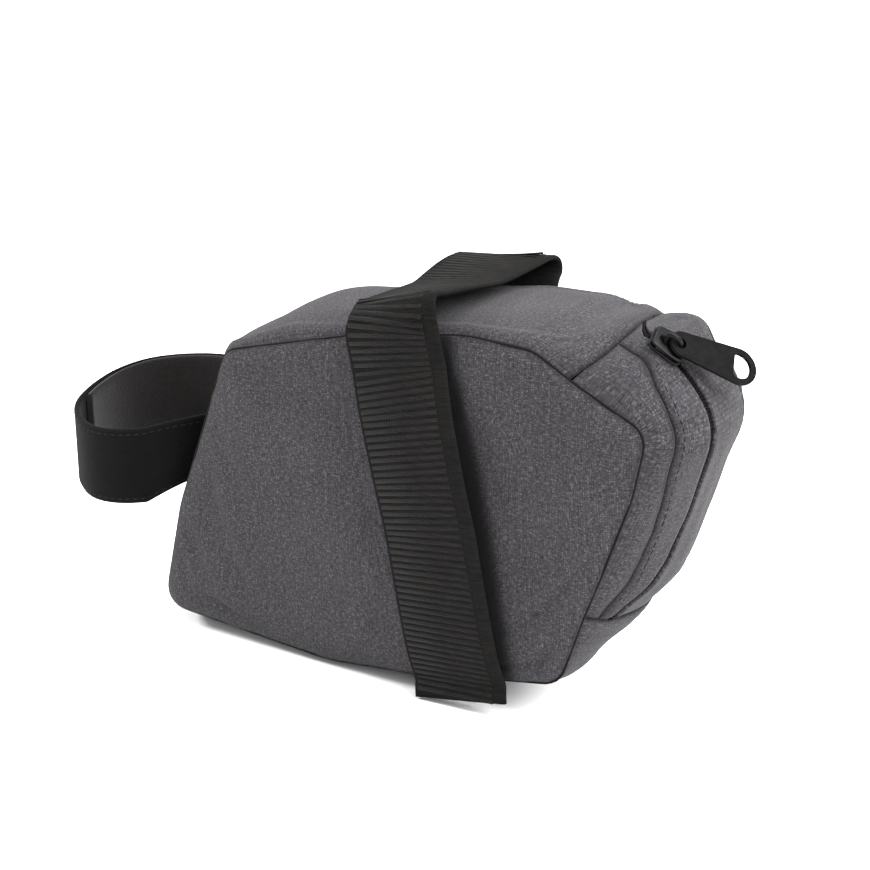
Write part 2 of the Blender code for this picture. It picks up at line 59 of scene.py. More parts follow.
Row = list[Vector]
Edge = Callable[[float], float]


def linear(code: str) -> tuple[float, float, float, float]:
    """Turn an sRGB hex colour into a linear colour.

    Args:
        code: Six hex digits, with or without a leading mark.

    Returns:
        Red, green, blue and full alpha, each from 0 to 1.
    """
    digits = code.lstrip("#")
    channels = [int(digits[place:place + 2], 16) / 255 for place in (0, 2, 4)]
    red, green, blue = (c / 12.92 if c <= 0.04045 else ((c + 0.055) / 1.055) ** 2.4 for c in channels)
    return red, green, blue, 1.0


def add_node(tree: bpy.types.NodeTree, kind: str, settings: Optional[dict[str, Any]] = None,
             sockets: Optional[dict[Any, Any]] = None) -> bpy.types.Node:
    """Add a node, set its properties, and fill or link its inputs.

    Args:
        tree: The node tree that takes the node.
        kind: Blender's name for the node's type.
        settings: Property names and values.
        sockets: Input names or numbers, each with a value or an output socket to link from.

    Returns:
        The new node.
    """
    node = tree.nodes.new(kind)
    for name, value in (settings or {}).items():
        setattr(node, name, value)
    for name, value in (sockets or {}).items():
        if isinstance(value, bpy.types.NodeSocket):
            tree.links.new(value, node.inputs[name])
        else:
            node.inputs[name].default_value = value
    return node


def interpolate(table: Sequence[tuple[float, float]], at: float) -> float:
    """Return the second column of a two-column table at a value of its first, straight between rows.

    Args:
        table: Rows in rising order of their first column.
        at: Where to read the table.

    Returns:
        The value there.
    """
    keys = [row[0] for row in table]
    index = min(max(bisect_right(keys, at) - 1, 0), len(table) - 2)
    (low, before), (high, after) = table[index], table[index + 1]
    share = min(max((at - low) / (high - low), 0.0), 1.0)
    return before + (after - before) * share


def spread(start: float, end: float, count: int) -> list[float]:
    """Return count + 1 evenly spaced values from start to end."""
    return [start + (end - start) * index / count for index in range(count + 1)]


def smooth_path(points: Row, steps: int) -> Row:
    """Return points along a Catmull-Rom curve through the given points.

    Args:
        points: The points that the curve runs through.
        steps: How many parts each span is divided into.

    Returns:
        The curve's points, the last one included.
    """
    ends = [points[0] * 2 - points[1]] + list(points) + [points[-1] * 2 - points[-2]]
    path = []
    for index in range(1, len(ends) - 2):
        before, start, end, after = ends[index - 1:index + 3]
        for step in range(steps):
            u = step / steps
            path.append(0.5 * (2 * start + (end - before) * u
                               + (2 * before - 5 * start + 4 * end - after) * u ** 2
                               + (3 * start - before - 3 * end + after) * u ** 3))
    path.append(points[-1].copy())
    return path


def either_side(path: Row, index: int) -> tuple[Vector, Vector]:
    """Return the points before and after one on an open path, or the path's own end."""
    return path[max(index - 1, 0)], path[min(index + 1, len(path) - 1)]


def eased(share: float) -> float:
    """Return a share from 0 to 1 that starts and ends gently."""
    return share * share * (3 - 2 * share)


class Shape(Enum):
    """The small solid that a row repeats."""

    STITCH = "stitch"
    BAR = "bar"


class Finish(Enum):
    """The names of the material slots."""

    CLOTH = "woven_cloth"
    SEAM = "seam_binding"
    TAPE = "zip_tape"
    WEBBING = "ribbed_webbing"
    HOOK = "hook_and_loop"
    ZINC = "painted_zinc"
    RUBBER = "moulded_rubber"


def principled(name: str) -> tuple[bpy.types.Material, bpy.types.NodeTree, bpy.types.Node]:
    """Make a material with an empty Principled surface.

    Args:
        name: The material's name.

    Returns:
        The material, its node tree and its shader node.
    """
    material = bpy.data.materials.new(name)
    material.use_nodes = True
    tree = material.node_tree
    tree.nodes.clear()
    shader = add_node(tree, "ShaderNodeBsdfPrincipled")
    add_node(tree, "ShaderNodeOutputMaterial", sockets={"Surface": shader.outputs["BSDF"]})
    return material, tree, shader


def ramp(tree: bpy.types.NodeTree, value: bpy.types.NodeSocket,
         stops: Sequence[tuple[float, str]]) -> bpy.types.NodeSocket:
    """Colour a value by a ramp.

    Args:
        tree: The node tree.
        value: The socket that the ramp reads.
        stops: Places from 0 to 1, each with an sRGB hex colour.

    Returns:
        The ramp's colour socket.
    """
    node = add_node(tree, "ShaderNodeValToRGB", sockets={"Fac": value})
    elements = node.color_ramp.elements
    while len(elements) < len(stops):
        elements.new(0.5)
    for element, (place, code) in zip(elements, stops):
        element.position = place
        element.color = linear(code)
    return node.outputs["Color"]


def maths(tree: bpy.types.NodeTree, operation: str, first: Any, second: Any = 0.0) -> bpy.types.NodeSocket:
    """Return the result socket of a Math node."""
    return add_node(tree, "ShaderNodeMath", {"operation": operation}, {0: first, 1: second}).outputs[0]


def scaled(tree: bpy.types.NodeTree, vector: bpy.types.NodeSocket, factor: Any) -> bpy.types.NodeSocket:
    """Return a vector times one factor."""
    node = add_node(tree, "ShaderNodeVectorMath", {"operation": "SCALE"}, {0: vector, "Scale": factor})
    return node.outputs[0]


def stretched(tree: bpy.types.NodeTree, vector: bpy.types.NodeSocket,
              factors: tuple[float, float, float]) -> bpy.types.NodeSocket:
    """Return a vector times one factor for each axis."""
    node = add_node(tree, "ShaderNodeVectorMath", {"operation": "MULTIPLY"}, {0: vector, 1: factors})
    return node.outputs[0]


def noise_value(tree: bpy.types.NodeTree, place: bpy.types.NodeSocket, scale: float, detail: float = 2.0,
                roughness: float = 0.5, flat: bool = False) -> bpy.types.NodeSocket:
    """Return the value of a noise texture.

    Args:
        tree: The node tree.
        place: The socket that gives the place.
        scale: How often the noise changes in one unit of the place.
        detail: How many finer layers it has.
        roughness: How strong the finer layers are.
        flat: True for noise in two dimensions.

    Returns:
        The value's socket.
    """
    node = add_node(tree, "ShaderNodeTexNoise", {"noise_dimensions": "2D" if flat else "3D"},
                    {"Vector": place, "Scale": scale, "Detail": detail, "Roughness": roughness})
    return node.outputs[0]


def weighted(tree: bpy.types.NodeTree, first: tuple[bpy.types.NodeSocket, float],
             second: tuple[bpy.types.NodeSocket, float]) -> bpy.types.NodeSocket:
    """Return the sum of two values, each times its weight."""
    return maths(tree, "ADD", *(maths(tree, "MULTIPLY", value, weight) for value, weight in (first, second)))


def finish_surface(tree: bpy.types.NodeTree, shader: bpy.types.Node, colour: bpy.types.NodeSocket,
                   levels: dict[str, float], bump: tuple[bpy.types.NodeSocket, float, float]) -> None:
    """Link a surface's colour and fine relief, and set its plain levels.

    Args:
        tree: The material's node tree.
        shader: Its shader node.
        colour: The colour's socket.
        levels: The shader's input names, each with its value.
        bump: The relief's height socket, its strength and its depth in metres.
    """
    tree.links.new(colour, shader.inputs["Base Color"])
    for name, level in levels.items():
        shader.inputs[name].default_value = level
    height, strength, depth = bump
    relief = add_node(tree, "ShaderNodeBump", sockets={
        "Strength": strength, "Distance": depth, "Height": height})
    tree.links.new(relief.outputs[0], shader.inputs["Normal"])


@dataclass(frozen=True)
class MelangeCloth:
    """Polyester plain weave of grey melange yarn, dyed in the fibre: dark and pale flecks, dry and matte.

    The real yarns lie about 0.45 mm apart, which is close to one pixel. So they are drawn at 0.8 mm on the
    sides and 0.6 mm on the band, and the flecks run along them for two to three yarns.
    """

    name: str = "melange_plain_weave"
    pitch: float = 0.0008
    dark: str = "#1a191a"
    body: str = "#2c2a2d"
    pale: str = "#454446"
    # Near-black painted shade, mixed into the cloth in the seam grooves and beside the saddle strap
    seam: str = "#070607"
    roughness: float = 0.92
    sheen: float = 0.04
    specular: float = 0.10
    relief: float = 0.00016
    relief_strength: float = 0.55
    # A fleck's width over its length, and how many flecks there are in a yarn's width
    fleck_shape: float = 0.38
    flecks: float = 1.1
    # The yarns' mean height, and how much paler their tops are painted, a painted highlight on the weave's
    # crowns
    mean_height: float = 0.6
    painted_yarn_highlight: float = 0.16
    # Clouds and streaks per metre, a streak's length over its width, and how strong each is
    clouds: float = 42.0
    streaks: float = 650.0
    streak_shape: float = 12.0
    cloud_tone: float = 0.42
    streak_tone: float = 0.50
    least_tone: float = 0.56

    def _tone(self, tree: bpy.types.NodeTree, uv: bpy.types.NodeSocket) -> bpy.types.NodeSocket:
        """Return the cloth's slow change of tone: clouds of dye, and streaks along the warp.

        Args:
            tree: The material's node tree.
            uv: The cloth map's socket.

        Returns:
            The factor that the colour is multiplied by.
        """
        place = add_node(tree, "ShaderNodeTexCoord").outputs["Object"]
        cloud = noise_value(tree, place, self.clouds, 4.0)
        drawn = stretched(tree, uv, (self.streaks, self.streaks / self.streak_shape, 1.0))
        streak = noise_value(tree, drawn, 1.0, flat=True)
        uneven = weighted(tree, (cloud, self.cloud_tone), (streak, self.streak_tone))
        return maths(tree, "ADD", uneven, self.least_tone)

    def make(self) -> bpy.types.Material:
        """Build the material from the piece's own cloth map, in metres of cloth.

        Returns:
            The material.
        """
        material, tree, shader = principled(self.name)
        uv = add_node(tree, "ShaderNodeUVMap", {"uv_map": "cloth"}).outputs["UV"]
        yarns = scaled(tree, uv, 1 / self.pitch)
        tones = [noise_value(tree, stretched(tree, yarns, shape), self.flecks, 2.0, 0.7, True)
                 for shape in ((self.fleck_shape, 1.0, 1.0), (1.0, self.fleck_shape, 1.0))]
        parts = add_node(tree, "ShaderNodeSeparateXYZ", sockets={0: yarns})
        waves = [maths(tree, "SINE", maths(tree, "MULTIPLY", parts.outputs[axis], math.pi))
                 for axis in (0, 1)]
        over = maths(tree, "MULTIPLY", *waves)
        yarn = add_node(tree, "ShaderNodeMix", {"data_type": "FLOAT"},
                        {0: maths(tree, "GREATER_THAN", over), 2: tones[0], 3: tones[1]}).outputs[0]
        # Painted highlight: each yarn's crown is coloured paler by its height, on top of the bump
        height = maths(tree, "POWER", maths(tree, "ABSOLUTE", over), 0.5)
        risen = maths(tree, "SUBTRACT", height, self.mean_height)
        shade = maths(tree, "ADD", yarn, maths(tree, "MULTIPLY", risen, self.painted_yarn_highlight))
        stops = (0.30, self.dark), (0.48, self.body), (0.55, self.body), (0.72, self.pale)
        toned = scaled(tree, ramp(tree, shade, stops), self._tone(tree, uv))
        # Painted shade: near-black mixed in by the mesh's shade attribute, in the seam grooves and beside the
        # saddle strap
        edge = add_node(tree, "ShaderNodeAttribute", {"attribute_name": "painted_shade"}).outputs["Fac"]
        mixed = add_node(tree, "ShaderNodeMix", {"data_type": "RGBA"},
                         {0: edge, 6: toned, 7: linear(self.seam)})
        levels = {"Roughness": self.roughness, "Sheen Weight": self.sheen, "Sheen Roughness": 0.5,
                  "Specular IOR Level": self.specular}
        finish_surface(tree, shader, mixed.outputs[2], levels, (height, self.relief_strength, self.relief))
        return material


@dataclass(frozen=True)
class Webbing:
    """Polyester webbing, woven flat: cross ribs with a smooth selvedge, a little shine on the high yarns."""

    name: str = "cross_ribbed_webbing"
    pitch: float = 0.00062
    low: str = "#0a0909"
    high: str = "#151413"
    roughness: float = 0.78
    relief: float = 0.0003
    sheen: float = 0.02
    specular: float = 0.08
    # The long yarns' pitch over the cross yarns', and the streaks per metre along and across
    long_yarn: float = 1.6
    streaks: tuple[float, float, float] = (1500.0, 140.0, 1.0)

    def make(self) -> bpy.types.Material:
        """Build the material: fine cross yarns along the strap and long yarns between them.

        Returns:
            The material.
        """
        material, tree, shader = principled(self.name)
        uv = add_node(tree, "ShaderNodeUVMap", {"uv_map": "cloth"}).outputs["UV"]
        parts = add_node(tree, "ShaderNodeSeparateXYZ", sockets={0: uv})
        turns = 2 * math.pi / self.pitch, 2 * math.pi / (self.pitch * self.long_yarn)
        along, across = (maths(tree, "SINE", maths(tree, "MULTIPLY", parts.outputs[axis], turn))
                         for axis, turn in enumerate(turns))
        woven = weighted(tree, (along, 0.3), (across, 0.2))
        streak = noise_value(tree, stretched(tree, uv, self.streaks), 1.0, flat=True)
        shade = maths(tree, "ADD", streak, maths(tree, "MULTIPLY", woven, 0.25))
        levels = {"Roughness": self.roughness, "Sheen Weight": self.sheen,
                  "Specular IOR Level": self.specular}
        finish_surface(tree, shader, ramp(tree, shade, ((0.25, self.low), (0.75, self.high))), levels,
                       (woven, 0.5, self.relief))
        return material


@dataclass(frozen=True)
class FineTextile:
    """Small knitted or brushed nylon, dyed black: hook-and-loop pile, zip tape, seam binding or thread."""

    name: str
    low: str
    high: str
    grain: float
    relief: float
    roughness: float = 0.95
    sheen: float = 0.03
    specular: float = 0.05
    # Slow changes of tone per metre
    clouds: float = 60.0

    def make(self) -> bpy.types.Material:
        """Build the material: a fine random pile, whose grain is a real size in metres.

        Returns:
            The material.
        """
        material, tree, shader = principled(self.name)
        place = add_node(tree, "ShaderNodeTexCoord").outputs["Object"]
        pile = noise_value(tree, place, 1 / self.grain, 3.0, 0.7)
        shade = weighted(tree, (pile, 0.7), (noise_value(tree, place, self.clouds), 0.3))
        levels = {"Roughness": self.roughness, "Sheen Weight": self.sheen,
                  "Specular IOR Level": self.specular}
        finish_surface(tree, shader, ramp(tree, shade, ((0.35, self.low), (0.65, self.high))), levels,
                       (pile, 0.6, self.relief))
        return material


@dataclass(frozen=True)
class SmoothPart:
    """A cast or moulded small part: black paint on zinc, or soft moulded rubber, with fine wear and dust."""

    name: str
    base: str
    worn: str
    roughness: float
    ior: float
    specular: float
    coat: float = 0.0
    # Dimples of the surface and marks of wear per metre, and the dimples' depth in metres
    dimples: float = 2200.0
    marks: float = 420.0
    relief: float = 0.00004
    uneven_gloss: float = 0.18

    def make(self) -> bpy.types.Material:
        """Build the material: slow colour change, fine orange-peel relief and uneven gloss.

        Returns:
            The material.
        """
        material, tree, shader = principled(self.name)
        place = add_node(tree, "ShaderNodeTexCoord").outputs["Object"]
        peel, wear = noise_value(tree, place, self.dimples), noise_value(tree, place, self.marks, 4.0)
        gloss = maths(tree, "MULTIPLY", wear, self.uneven_gloss)
        gloss = maths(tree, "ADD", gloss, self.roughness - self.uneven_gloss / 2)
        tree.links.new(gloss, shader.inputs["Roughness"])
        levels = {"IOR": self.ior, "Coat Weight": self.coat, "Specular IOR Level": self.specular}
        finish_surface(tree, shader, ramp(tree, wear, ((0.35, self.base), (0.80, self.worn))), levels,
                       (peel, 0.3, self.relief))
        return material


class Palette:
    """The bag's materials, made once."""

    def __init__(self) -> None:
        """Make each finish."""
        self.cloth = MelangeCloth().make()
        self.band = MelangeCloth("melange_band_weave", pitch=0.0006).make()
        self.webbing = Webbing().make()
        self.ground = Webbing("webbing_ground", low="#080808", high="#121110", sheen=0.0,
                              specular=0.05).make()
        self.seam = FineTextile("turned_seam", "#070607", "#0e0d0e", 0.0006, 0.0001).make()
        self.tape = FineTextile("knitted_zip_tape", "#060606", "#0c0c0c", 0.0005, 0.0001).make()
        self.hook = FineTextile("hook_tape", "#040404", "#090808", 0.0007, 0.0003).make()
        self.pile = FineTextile("brushed_loop_tape", "#0c0b0b", "#171514", 0.0009, 0.0005, sheen=0.12).make()
        self.thread = FineTextile("bonded_thread", "#0f0e0f", "#1a191a", 0.0004, 0.00006, 0.7).make()
        self.pale_thread = FineTextile("grey_thread", "#211f21", "#353335", 0.0004, 0.00006, 0.8).make()
        self.coil = SmoothPart("nylon_zip_coil", "#060607", "#0e0d0e", 0.5, ior=1.4, specular=0.08).make()
        self.zinc = SmoothPart("painted_zinc_casting", "#030303", "#0b0b0b", 0.42, ior=1.45, specular=0.10,
                               coat=0.05).make()
        self.rubber = SmoothPart("moulded_soft_rubber", "#090909", "#111111", 0.55, ior=1.38,
                                 specular=0.04).make()


def mesh_object(name: str, mesh: bpy.types.Mesh, material: bpy.types.Material) -> bpy.types.Object:
    """Link a mesh as a new object with its material.

    Args:
        name: The object's name.
        mesh: Its mesh.
        material: The material that it wears.

    Returns:
        The object, at the origin.
    """
    mesh.materials.clear()
    mesh.materials.append(material)
    item = bpy.data.objects.new(name, mesh)
    bpy.context.scene.collection.objects.link(item)
    return item


def evaluated_mesh(item: bpy.types.Object) -> bpy.types.Mesh:
    """Return an object's final form as a plain mesh."""
    bpy.context.view_layer.update()
    return bpy.data.meshes.new_from_object(item.evaluated_get(bpy.context.evaluated_depsgraph_get()))


def apply_modifiers(item: bpy.types.Object) -> None:
    """Bake an object's modifiers into a plain mesh of the same name.

    Args:
        item: The object, which keeps its name and loses its modifiers.
    """
    baked = evaluated_mesh(item)
    item.modifiers.clear()
    old, item.data = item.data, baked
    baked.name = item.name
    if not old.users:
        bpy.data.meshes.remove(old)


def closed_curve(name: str, dimensions: str, outlines: Sequence[Sequence[Sequence[float]]],
                 bevel: float) -> bpy.types.Curve:
    """Draw closed outlines as one curve with a round bevel.

    Args:
        name: The curve's name.
        dimensions: "2D" for a plate, "3D" for a cord.
        outlines: The points of each outline.
        bevel: The bevel's radius.

    Returns:
        The curve.
    """
    curve = bpy.data.curves.new(name, "CURVE")
    curve.dimensions = dimensions
    curve.bevel_depth = bevel
    curve.bevel_resolution = 2
    for outline in outlines:
        spline = curve.splines.new("POLY")
        spline.points.add(len(outline) - 1)
        for target, point in zip(spline.points, outline):
            target.co = (*point, 1.0)
        spline.use_cyclic_u = True
    return curve


def curve_mesh(curve: bpy.types.Curve) -> bpy.types.Mesh:
    """Turn a curve into a mesh.

    Args:
        curve: The curve, with its bevel.

    Returns:
        The mesh.
    """
    holder = bpy.data.objects.new(f"{curve.name}_curve", curve)
    bpy.context.scene.collection.objects.link(holder)
    mesh = evaluated_mesh(holder)
    bpy.data.objects.remove(holder, do_unlink=True)
    return mesh


class ClothMesh:
    """A mesh in the making, with a cloth map in metres and each point's painted shade, which darkens the
    cloth by the seams and beside the strap.
    """

    def __init__(self) -> None:
        """Start an empty mesh."""
        self.work = bmesh.new()
        self.map_layer = self.work.loops.layers.uv.new("cloth")
        self.painted_shade_layer = self.work.verts.layers.float.new("painted_shade")
        self.flat: dict[bmesh.types.BMVert, tuple[float, float]] = {}

    def point(self, place: Vector, flat: tuple[float, float], shade: float = 0.0) -> bmesh.types.BMVert:
        """Add a point.

        Args:
            place: Where it lies.
            flat: Its place on the flat cloth.
            shade: Its painted shade, from 0 to 1.

        Returns:
            The point.
        """
        vert = self.work.verts.new(place)
        vert[self.painted_shade_layer] = shade
        self.flat[vert] = flat
        return vert

    def face(self, *corners: bmesh.types.BMVert) -> None:
        """Add a smooth face between points, and map it.

        Args:
            corners: The points, in their order round the face.
        """
        face = self.work.faces.new(corners)
        face.smooth = True
        for loop in face.loops:
            loop[self.map_layer].uv = self.flat[loop.vert]

    def rows(self, grid: Sequence[Sequence[bmesh.types.BMVert]]) -> None:
        """Fill a grid of points with faces.

        Args:
            grid: The points, row by row.
        """
        for row, following in zip(grid, grid[1:]):
            for index in range(len(row) - 1):
                self.face(row[index], following[index], following[index + 1], row[index + 1])

    def rings(self, grid: Sequence[Sequence[bmesh.types.BMVert]]) -> None:
        """Fill a grid of closed rings with faces.

        Args:
            grid: The points, ring by ring.
        """
        for ring, following in zip(grid, grid[1:]):
            for index in range(len(ring)):
                after = (index + 1) % len(ring)
                self.face(ring[index], ring[after], following[after], following[index])

    def finish(self, name: str) -> bpy.types.Mesh:
        """Close the work.

        Args:
            name: The mesh's name.

        Returns:
            The mesh.
        """
        mesh = bpy.data.meshes.new(name)
        self.work.to_mesh(mesh)
        self.work.free()
        return mesh


def thicken(item: bpy.types.Object, thickness: float, offset: float = -1.0) -> None:
    """Give a sheet its wall and bake it.

    Args:
        item: The sheet.
        thickness: The wall in metres.
        offset: -1 for a wall inside the sheet, 0 for one on both sides of it.
    """
    solidify = item.modifiers.new("wall", "SOLIDIFY")
    solidify.thickness = thickness
    solidify.offset = offset
    solidify.use_even_offset = True
    apply_modifiers(item)


def settle_on_frame(item: bpy.types.Object, body: str, finish: Finish, *nodes: str) -> bpy.types.Object:
    """Tell the frame what a finished piece rides on and stands for.

    Args:
        item: The piece.
        body: The CAD body that it rides on.
        finish: The material slot; not used.
        nodes: The CAD nodes that it replaces.

    Returns:
        The piece.
    """
    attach(item, body)
    if nodes:
        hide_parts(*nodes)
    return item


class RowTree:
    """A Geometry Nodes tree that sets one small solid again and again along a path."""

    SEED = 7

    def __init__(self, shape: Shape) -> None:
        """Build the tree for one kind of solid.

        Args:
            shape: The solid that the row repeats.
        """
        self.tree = bpy.data.node_groups.new(f"row_of_{shape.value}", "GeometryNodeTree")
        tree = self.tree
        face = tree.interface
        face.new_socket("Geometry", in_out="OUTPUT", socket_type="NodeSocketGeometry")
        self.sockets = {
            name: face.new_socket(name, in_out="INPUT", socket_type=f"NodeSocket{kind}").identifier
            for name, kind in (("Geometry", "Geometry"), ("Spacing", "Float"), ("Size", "Vector"),
                               ("Lift", "Float"), ("Vary", "Float"), ("Material", "Material"))}
        given = add_node(tree, "NodeGroupInput")
        curve = add_node(tree, "GeometryNodeMeshToCurve", sockets={"Mesh": given.outputs["Geometry"]})
        even = add_node(tree, "GeometryNodeResampleCurve", {"mode": "LENGTH"}, {
            "Curve": curve.outputs[0], "Length": given.outputs["Spacing"]})
        facing = add_node(tree, "GeometryNodeInputNamedAttribute", {"data_type": "FLOAT_VECTOR"},
                          {"Name": "facing"})
        along = add_node(tree, "FunctionNodeAlignRotationToVector", {"axis": "X"}, {
            "Vector": add_node(tree, "GeometryNodeInputTangent").outputs[0]})
        turned = add_node(tree, "FunctionNodeAlignRotationToVector", {"axis": "Z", "pivot_axis": "X"}, {
            "Rotation": along.outputs[0], "Vector": facing.outputs[0]})
        lifted = add_node(tree, "ShaderNodeVectorMath", {"operation": "SCALE"}, {
            0: facing.outputs[0], "Scale": given.outputs["Lift"]})
        moved = add_node(tree, "GeometryNodeSetPosition", sockets={
            "Geometry": even.outputs[0], "Offset": lifted.outputs[0]})
        solid = self._solid(shape)
        less = maths(tree, "SUBTRACT", 1.0, given.outputs["Vary"])
        more = maths(tree, "ADD", 1.0, given.outputs["Vary"])
        chance = add_node(tree, "FunctionNodeRandomValue", {"data_type": "FLOAT"}, {
            2: less, 3: more, "Seed": self.SEED})
        size = add_node(tree, "ShaderNodeVectorMath", {"operation": "SCALE"}, {
            0: given.outputs["Size"], "Scale": chance.outputs[1]})
        placed = add_node(tree, "GeometryNodeInstanceOnPoints", sockets={
            "Points": moved.outputs[0], "Instance": solid, "Rotation": turned.outputs[0],
            "Scale": size.outputs[0]})
        real = add_node(tree, "GeometryNodeRealizeInstances", sockets={"Geometry": placed.outputs[0]})
        dressed = add_node(tree, "GeometryNodeSetMaterial", sockets={
            "Geometry": real.outputs[0], "Material": given.outputs["Material"]})
        add_node(tree, "NodeGroupOutput", sockets={"Geometry": dressed.outputs[0]})

    def _solid(self, shape: Shape) -> bpy.types.NodeSocket:
        """Make the solid: one unit long on each axis, to be scaled to size.

        Args:
            shape: The solid that the row repeats.

        Returns:
            Its geometry's socket.
        """
        if shape is Shape.STITCH:
            ball = add_node(self.tree, "GeometryNodeMeshUVSphere", sockets={
                "Segments": 8, "Rings": 5, "Radius": 0.5})
            return ball.outputs["Mesh"]
        bar = add_node(self.tree, "GeometryNodeMeshCylinder", sockets={
            "Vertices": 8, "Radius": 0.5, "Depth": 1.0})
        laid = add_node(self.tree, "GeometryNodeTransform", sockets={
            "Geometry": bar.outputs["Mesh"], "Rotation": (math.pi / 2, 0.0, 0.0)})
        return laid.outputs[0]

    def lay(self, name: str, path: Row, facings: Row, spacing: float, size: tuple[float, float, float],
            material: bpy.types.Material, lift: float = 0.0, vary: float = 0.0) -> bpy.types.Object:
        """Set a row along a path and bake it to a plain mesh.

        Args:
            name: The piece's name.
            path: The path's points.
            facings: The direction off the surface at each point.
            spacing: Distance between solids, in metres.
            size: Each solid's length, width and height.
            material: What it is made of.
            lift: How far off the path the solids sit.
            vary: How much their size varies, as a share.

        Returns:
            The row as one object.
        """
        mesh = bpy.data.meshes.new(name)
        mesh.from_pydata([tuple(point) for point in path], [(i, i + 1) for i in range(len(path) - 1)], [])
        attribute = mesh.attributes.new("facing", "FLOAT_VECTOR", "POINT")
        for value, facing in zip(attribute.data, facings):
            value.vector = facing
        item = mesh_object(name, mesh, material)
        row = item.modifiers.new("row", "NODES")
        row.node_group = self.tree
        given = {"Spacing": spacing, "Size": size, "Lift": lift, "Vary": vary, "Material": material}
        for key, value in given.items():
            row[self.sockets[key]] = value
        apply_modifiers(item)
        item.data.shade_smooth()
        return item


@dataclass
class Outline:
    """The side panel's closed outline: straight runs between rounded corners, measured by length."""

    length: float = 0.2015
    height: float = 0.1395
    reach: float = 0.106
    arc_steps: int = 8
    corners: tuple[tuple[str, float, float, float, float, float], ...] = (
        # name, along, up, bend, crown, fullness
        ("front_top", 0.186, 0.857, 0.065, 0.080, 0.45),
        ("top_front", 0.327, 0.909, 0.450, 0.165, 0.45),
        ("strap_front", 0.486, 0.965, 0.450, 0.092, 0.45),
        ("top_high", 0.685, 1.006, 0.400, 0.085, 0.45),
        ("top_rear", 0.809, 0.996, 0.110, 0.120, 0.45),
        ("lid_seam", 0.878, 0.938, 0.300, 0.245, 0.50),
        ("rear_slope", 0.948, 0.886, 0.300, 0.350, 0.50),
        ("rear_top", 1.015, 0.840, 0.085, 0.235, 0.50),
        ("rear_mid", 0.990, 0.667, 0.350, 0.205, 0.55),
        ("rear_low", 0.940, 0.459, 0.500, 0.220, 0.60),
        ("zip_end", 0.906, 0.330, 0.300, 0.160, 0.65),
        ("rear_bottom", 0.861, 0.131, 0.085, 0.030, 0.80),
        ("bottom_rear", 0.559, 0.048, 0.600, 0.125, 0.70),
        ("bottom_front", 0.377, 0.018, 0.500, 0.080, 0.60),
        ("front_bottom", -0.008, 0.056, 0.070, 0.100, 0.60),
        ("front_mid", 0.052, 0.380, 0.500, 0.060, 0.80),
    )

    def __post_init__(self) -> None:
        """Lay the rounded corners out and measure along them."""
        self.places = [Vector((self.length * along - self.reach, self.height * up))
                       for _, along, up, *_ in self.corners]
        self.points: list[Vector] = []
        self.normals: list[Vector] = []
        marks = {}
        for index, row in enumerate(self.corners):
            marks[row[0]] = len(self.points) + self.arc_steps // 2
            self._add_corner(index, row[3] * self.height)
        self.lengths = [0.0]
        for point, after in zip(self.points, self.points[1:] + self.points[:1]):
            self.lengths.append(self.lengths[-1] + (after - point).length)
        self.total = self.lengths[-1]
        self.stations = {name: self.lengths[index] for name, index in marks.items()}
        self.crowns = [(self.stations[row[0]], row[4], row[5]) for row in self.corners]

    def _add_corner(self, index: int, radius: float) -> None:
        """Add one corner's arc, no longer than its two sides allow.

        Args:
            index: The corner's number.
            radius: The bend's radius in metres.
        """
        corner = self.places[index]
        before = self.places[index - 1] - corner
        after = self.places[(index + 1) % len(self.places)] - corner
        turn = math.pi - before.angle(after)
        reach = min(radius * math.tan(turn / 2), 0.49 * before.length, 0.49 * after.length)
        start = corner + before.normalized() * reach
        end = corner + after.normalized() * reach
        first = Vector((before.y, -before.x)).normalized()
        last = Vector((-after.y, after.x)).normalized()
        for step in range(self.arc_steps + 1):
            u = step / self.arc_steps
            self.points.append(start.lerp(corner, u).lerp(corner.lerp(end, u), u))
            self.normals.append(first.lerp(last, u).normalized())

    def at(self, distance: float) -> tuple[Vector, Vector]:
        """Return a place on the outline.

        Args:
            distance: How far along the outline it lies.

        Returns:
            The point and the outward normal.
        """
        distance %= self.total
        index = min(bisect_right(self.lengths, distance) - 1, len(self.points) - 1)
        following = (index + 1) % len(self.points)
        span = self.lengths[index + 1] - self.lengths[index]
        share = (distance - self.lengths[index]) / span if span else 0.0
        normal = self.normals[index].lerp(self.normals[following], share).normalized()
        return self.points[index].lerp(self.points[following], share), normal

    def crown(self, distance: float) -> tuple[float, float]:
        """Return how the band is filled out at a place.

        Args:
            distance: How far along the outline it lies.

        Returns:
            The crown, as a share of the width, and its fullness.
        """
        distance %= self.total
        first, *others = self.crowns
        if distance < first[0]:
            distance += self.total
        rows = [first, *others, (first[0] + self.total, *first[1:])]
        index = min(bisect_right([row[0] for row in rows], distance) - 1, len(rows) - 2)
        low, high = rows[index], rows[index + 1]
        share = eased((distance - low[0]) / (high[0] - low[0]))
        return low[1] + (high[1] - low[1]) * share, low[2] + (high[2] - low[2]) * share

    def inset(self, point: Vector) -> float:
        """Return how far a point of the side panel lies inside the outline.

        Args:
            point: The place on the flat panel.

        Returns:
            Its distance to the nearest part of the outline.
        """
        best = self.length
        for start, after in zip(self.points, self.points[1:] + self.points[:1]):
            along = after - start
            if along.length_squared == 0.0:
                continue
            share = min(max((point - start).dot(along) / along.length_squared, 0.0), 1.0)
            best = min(best, (point - start - along * share).length)
        return best


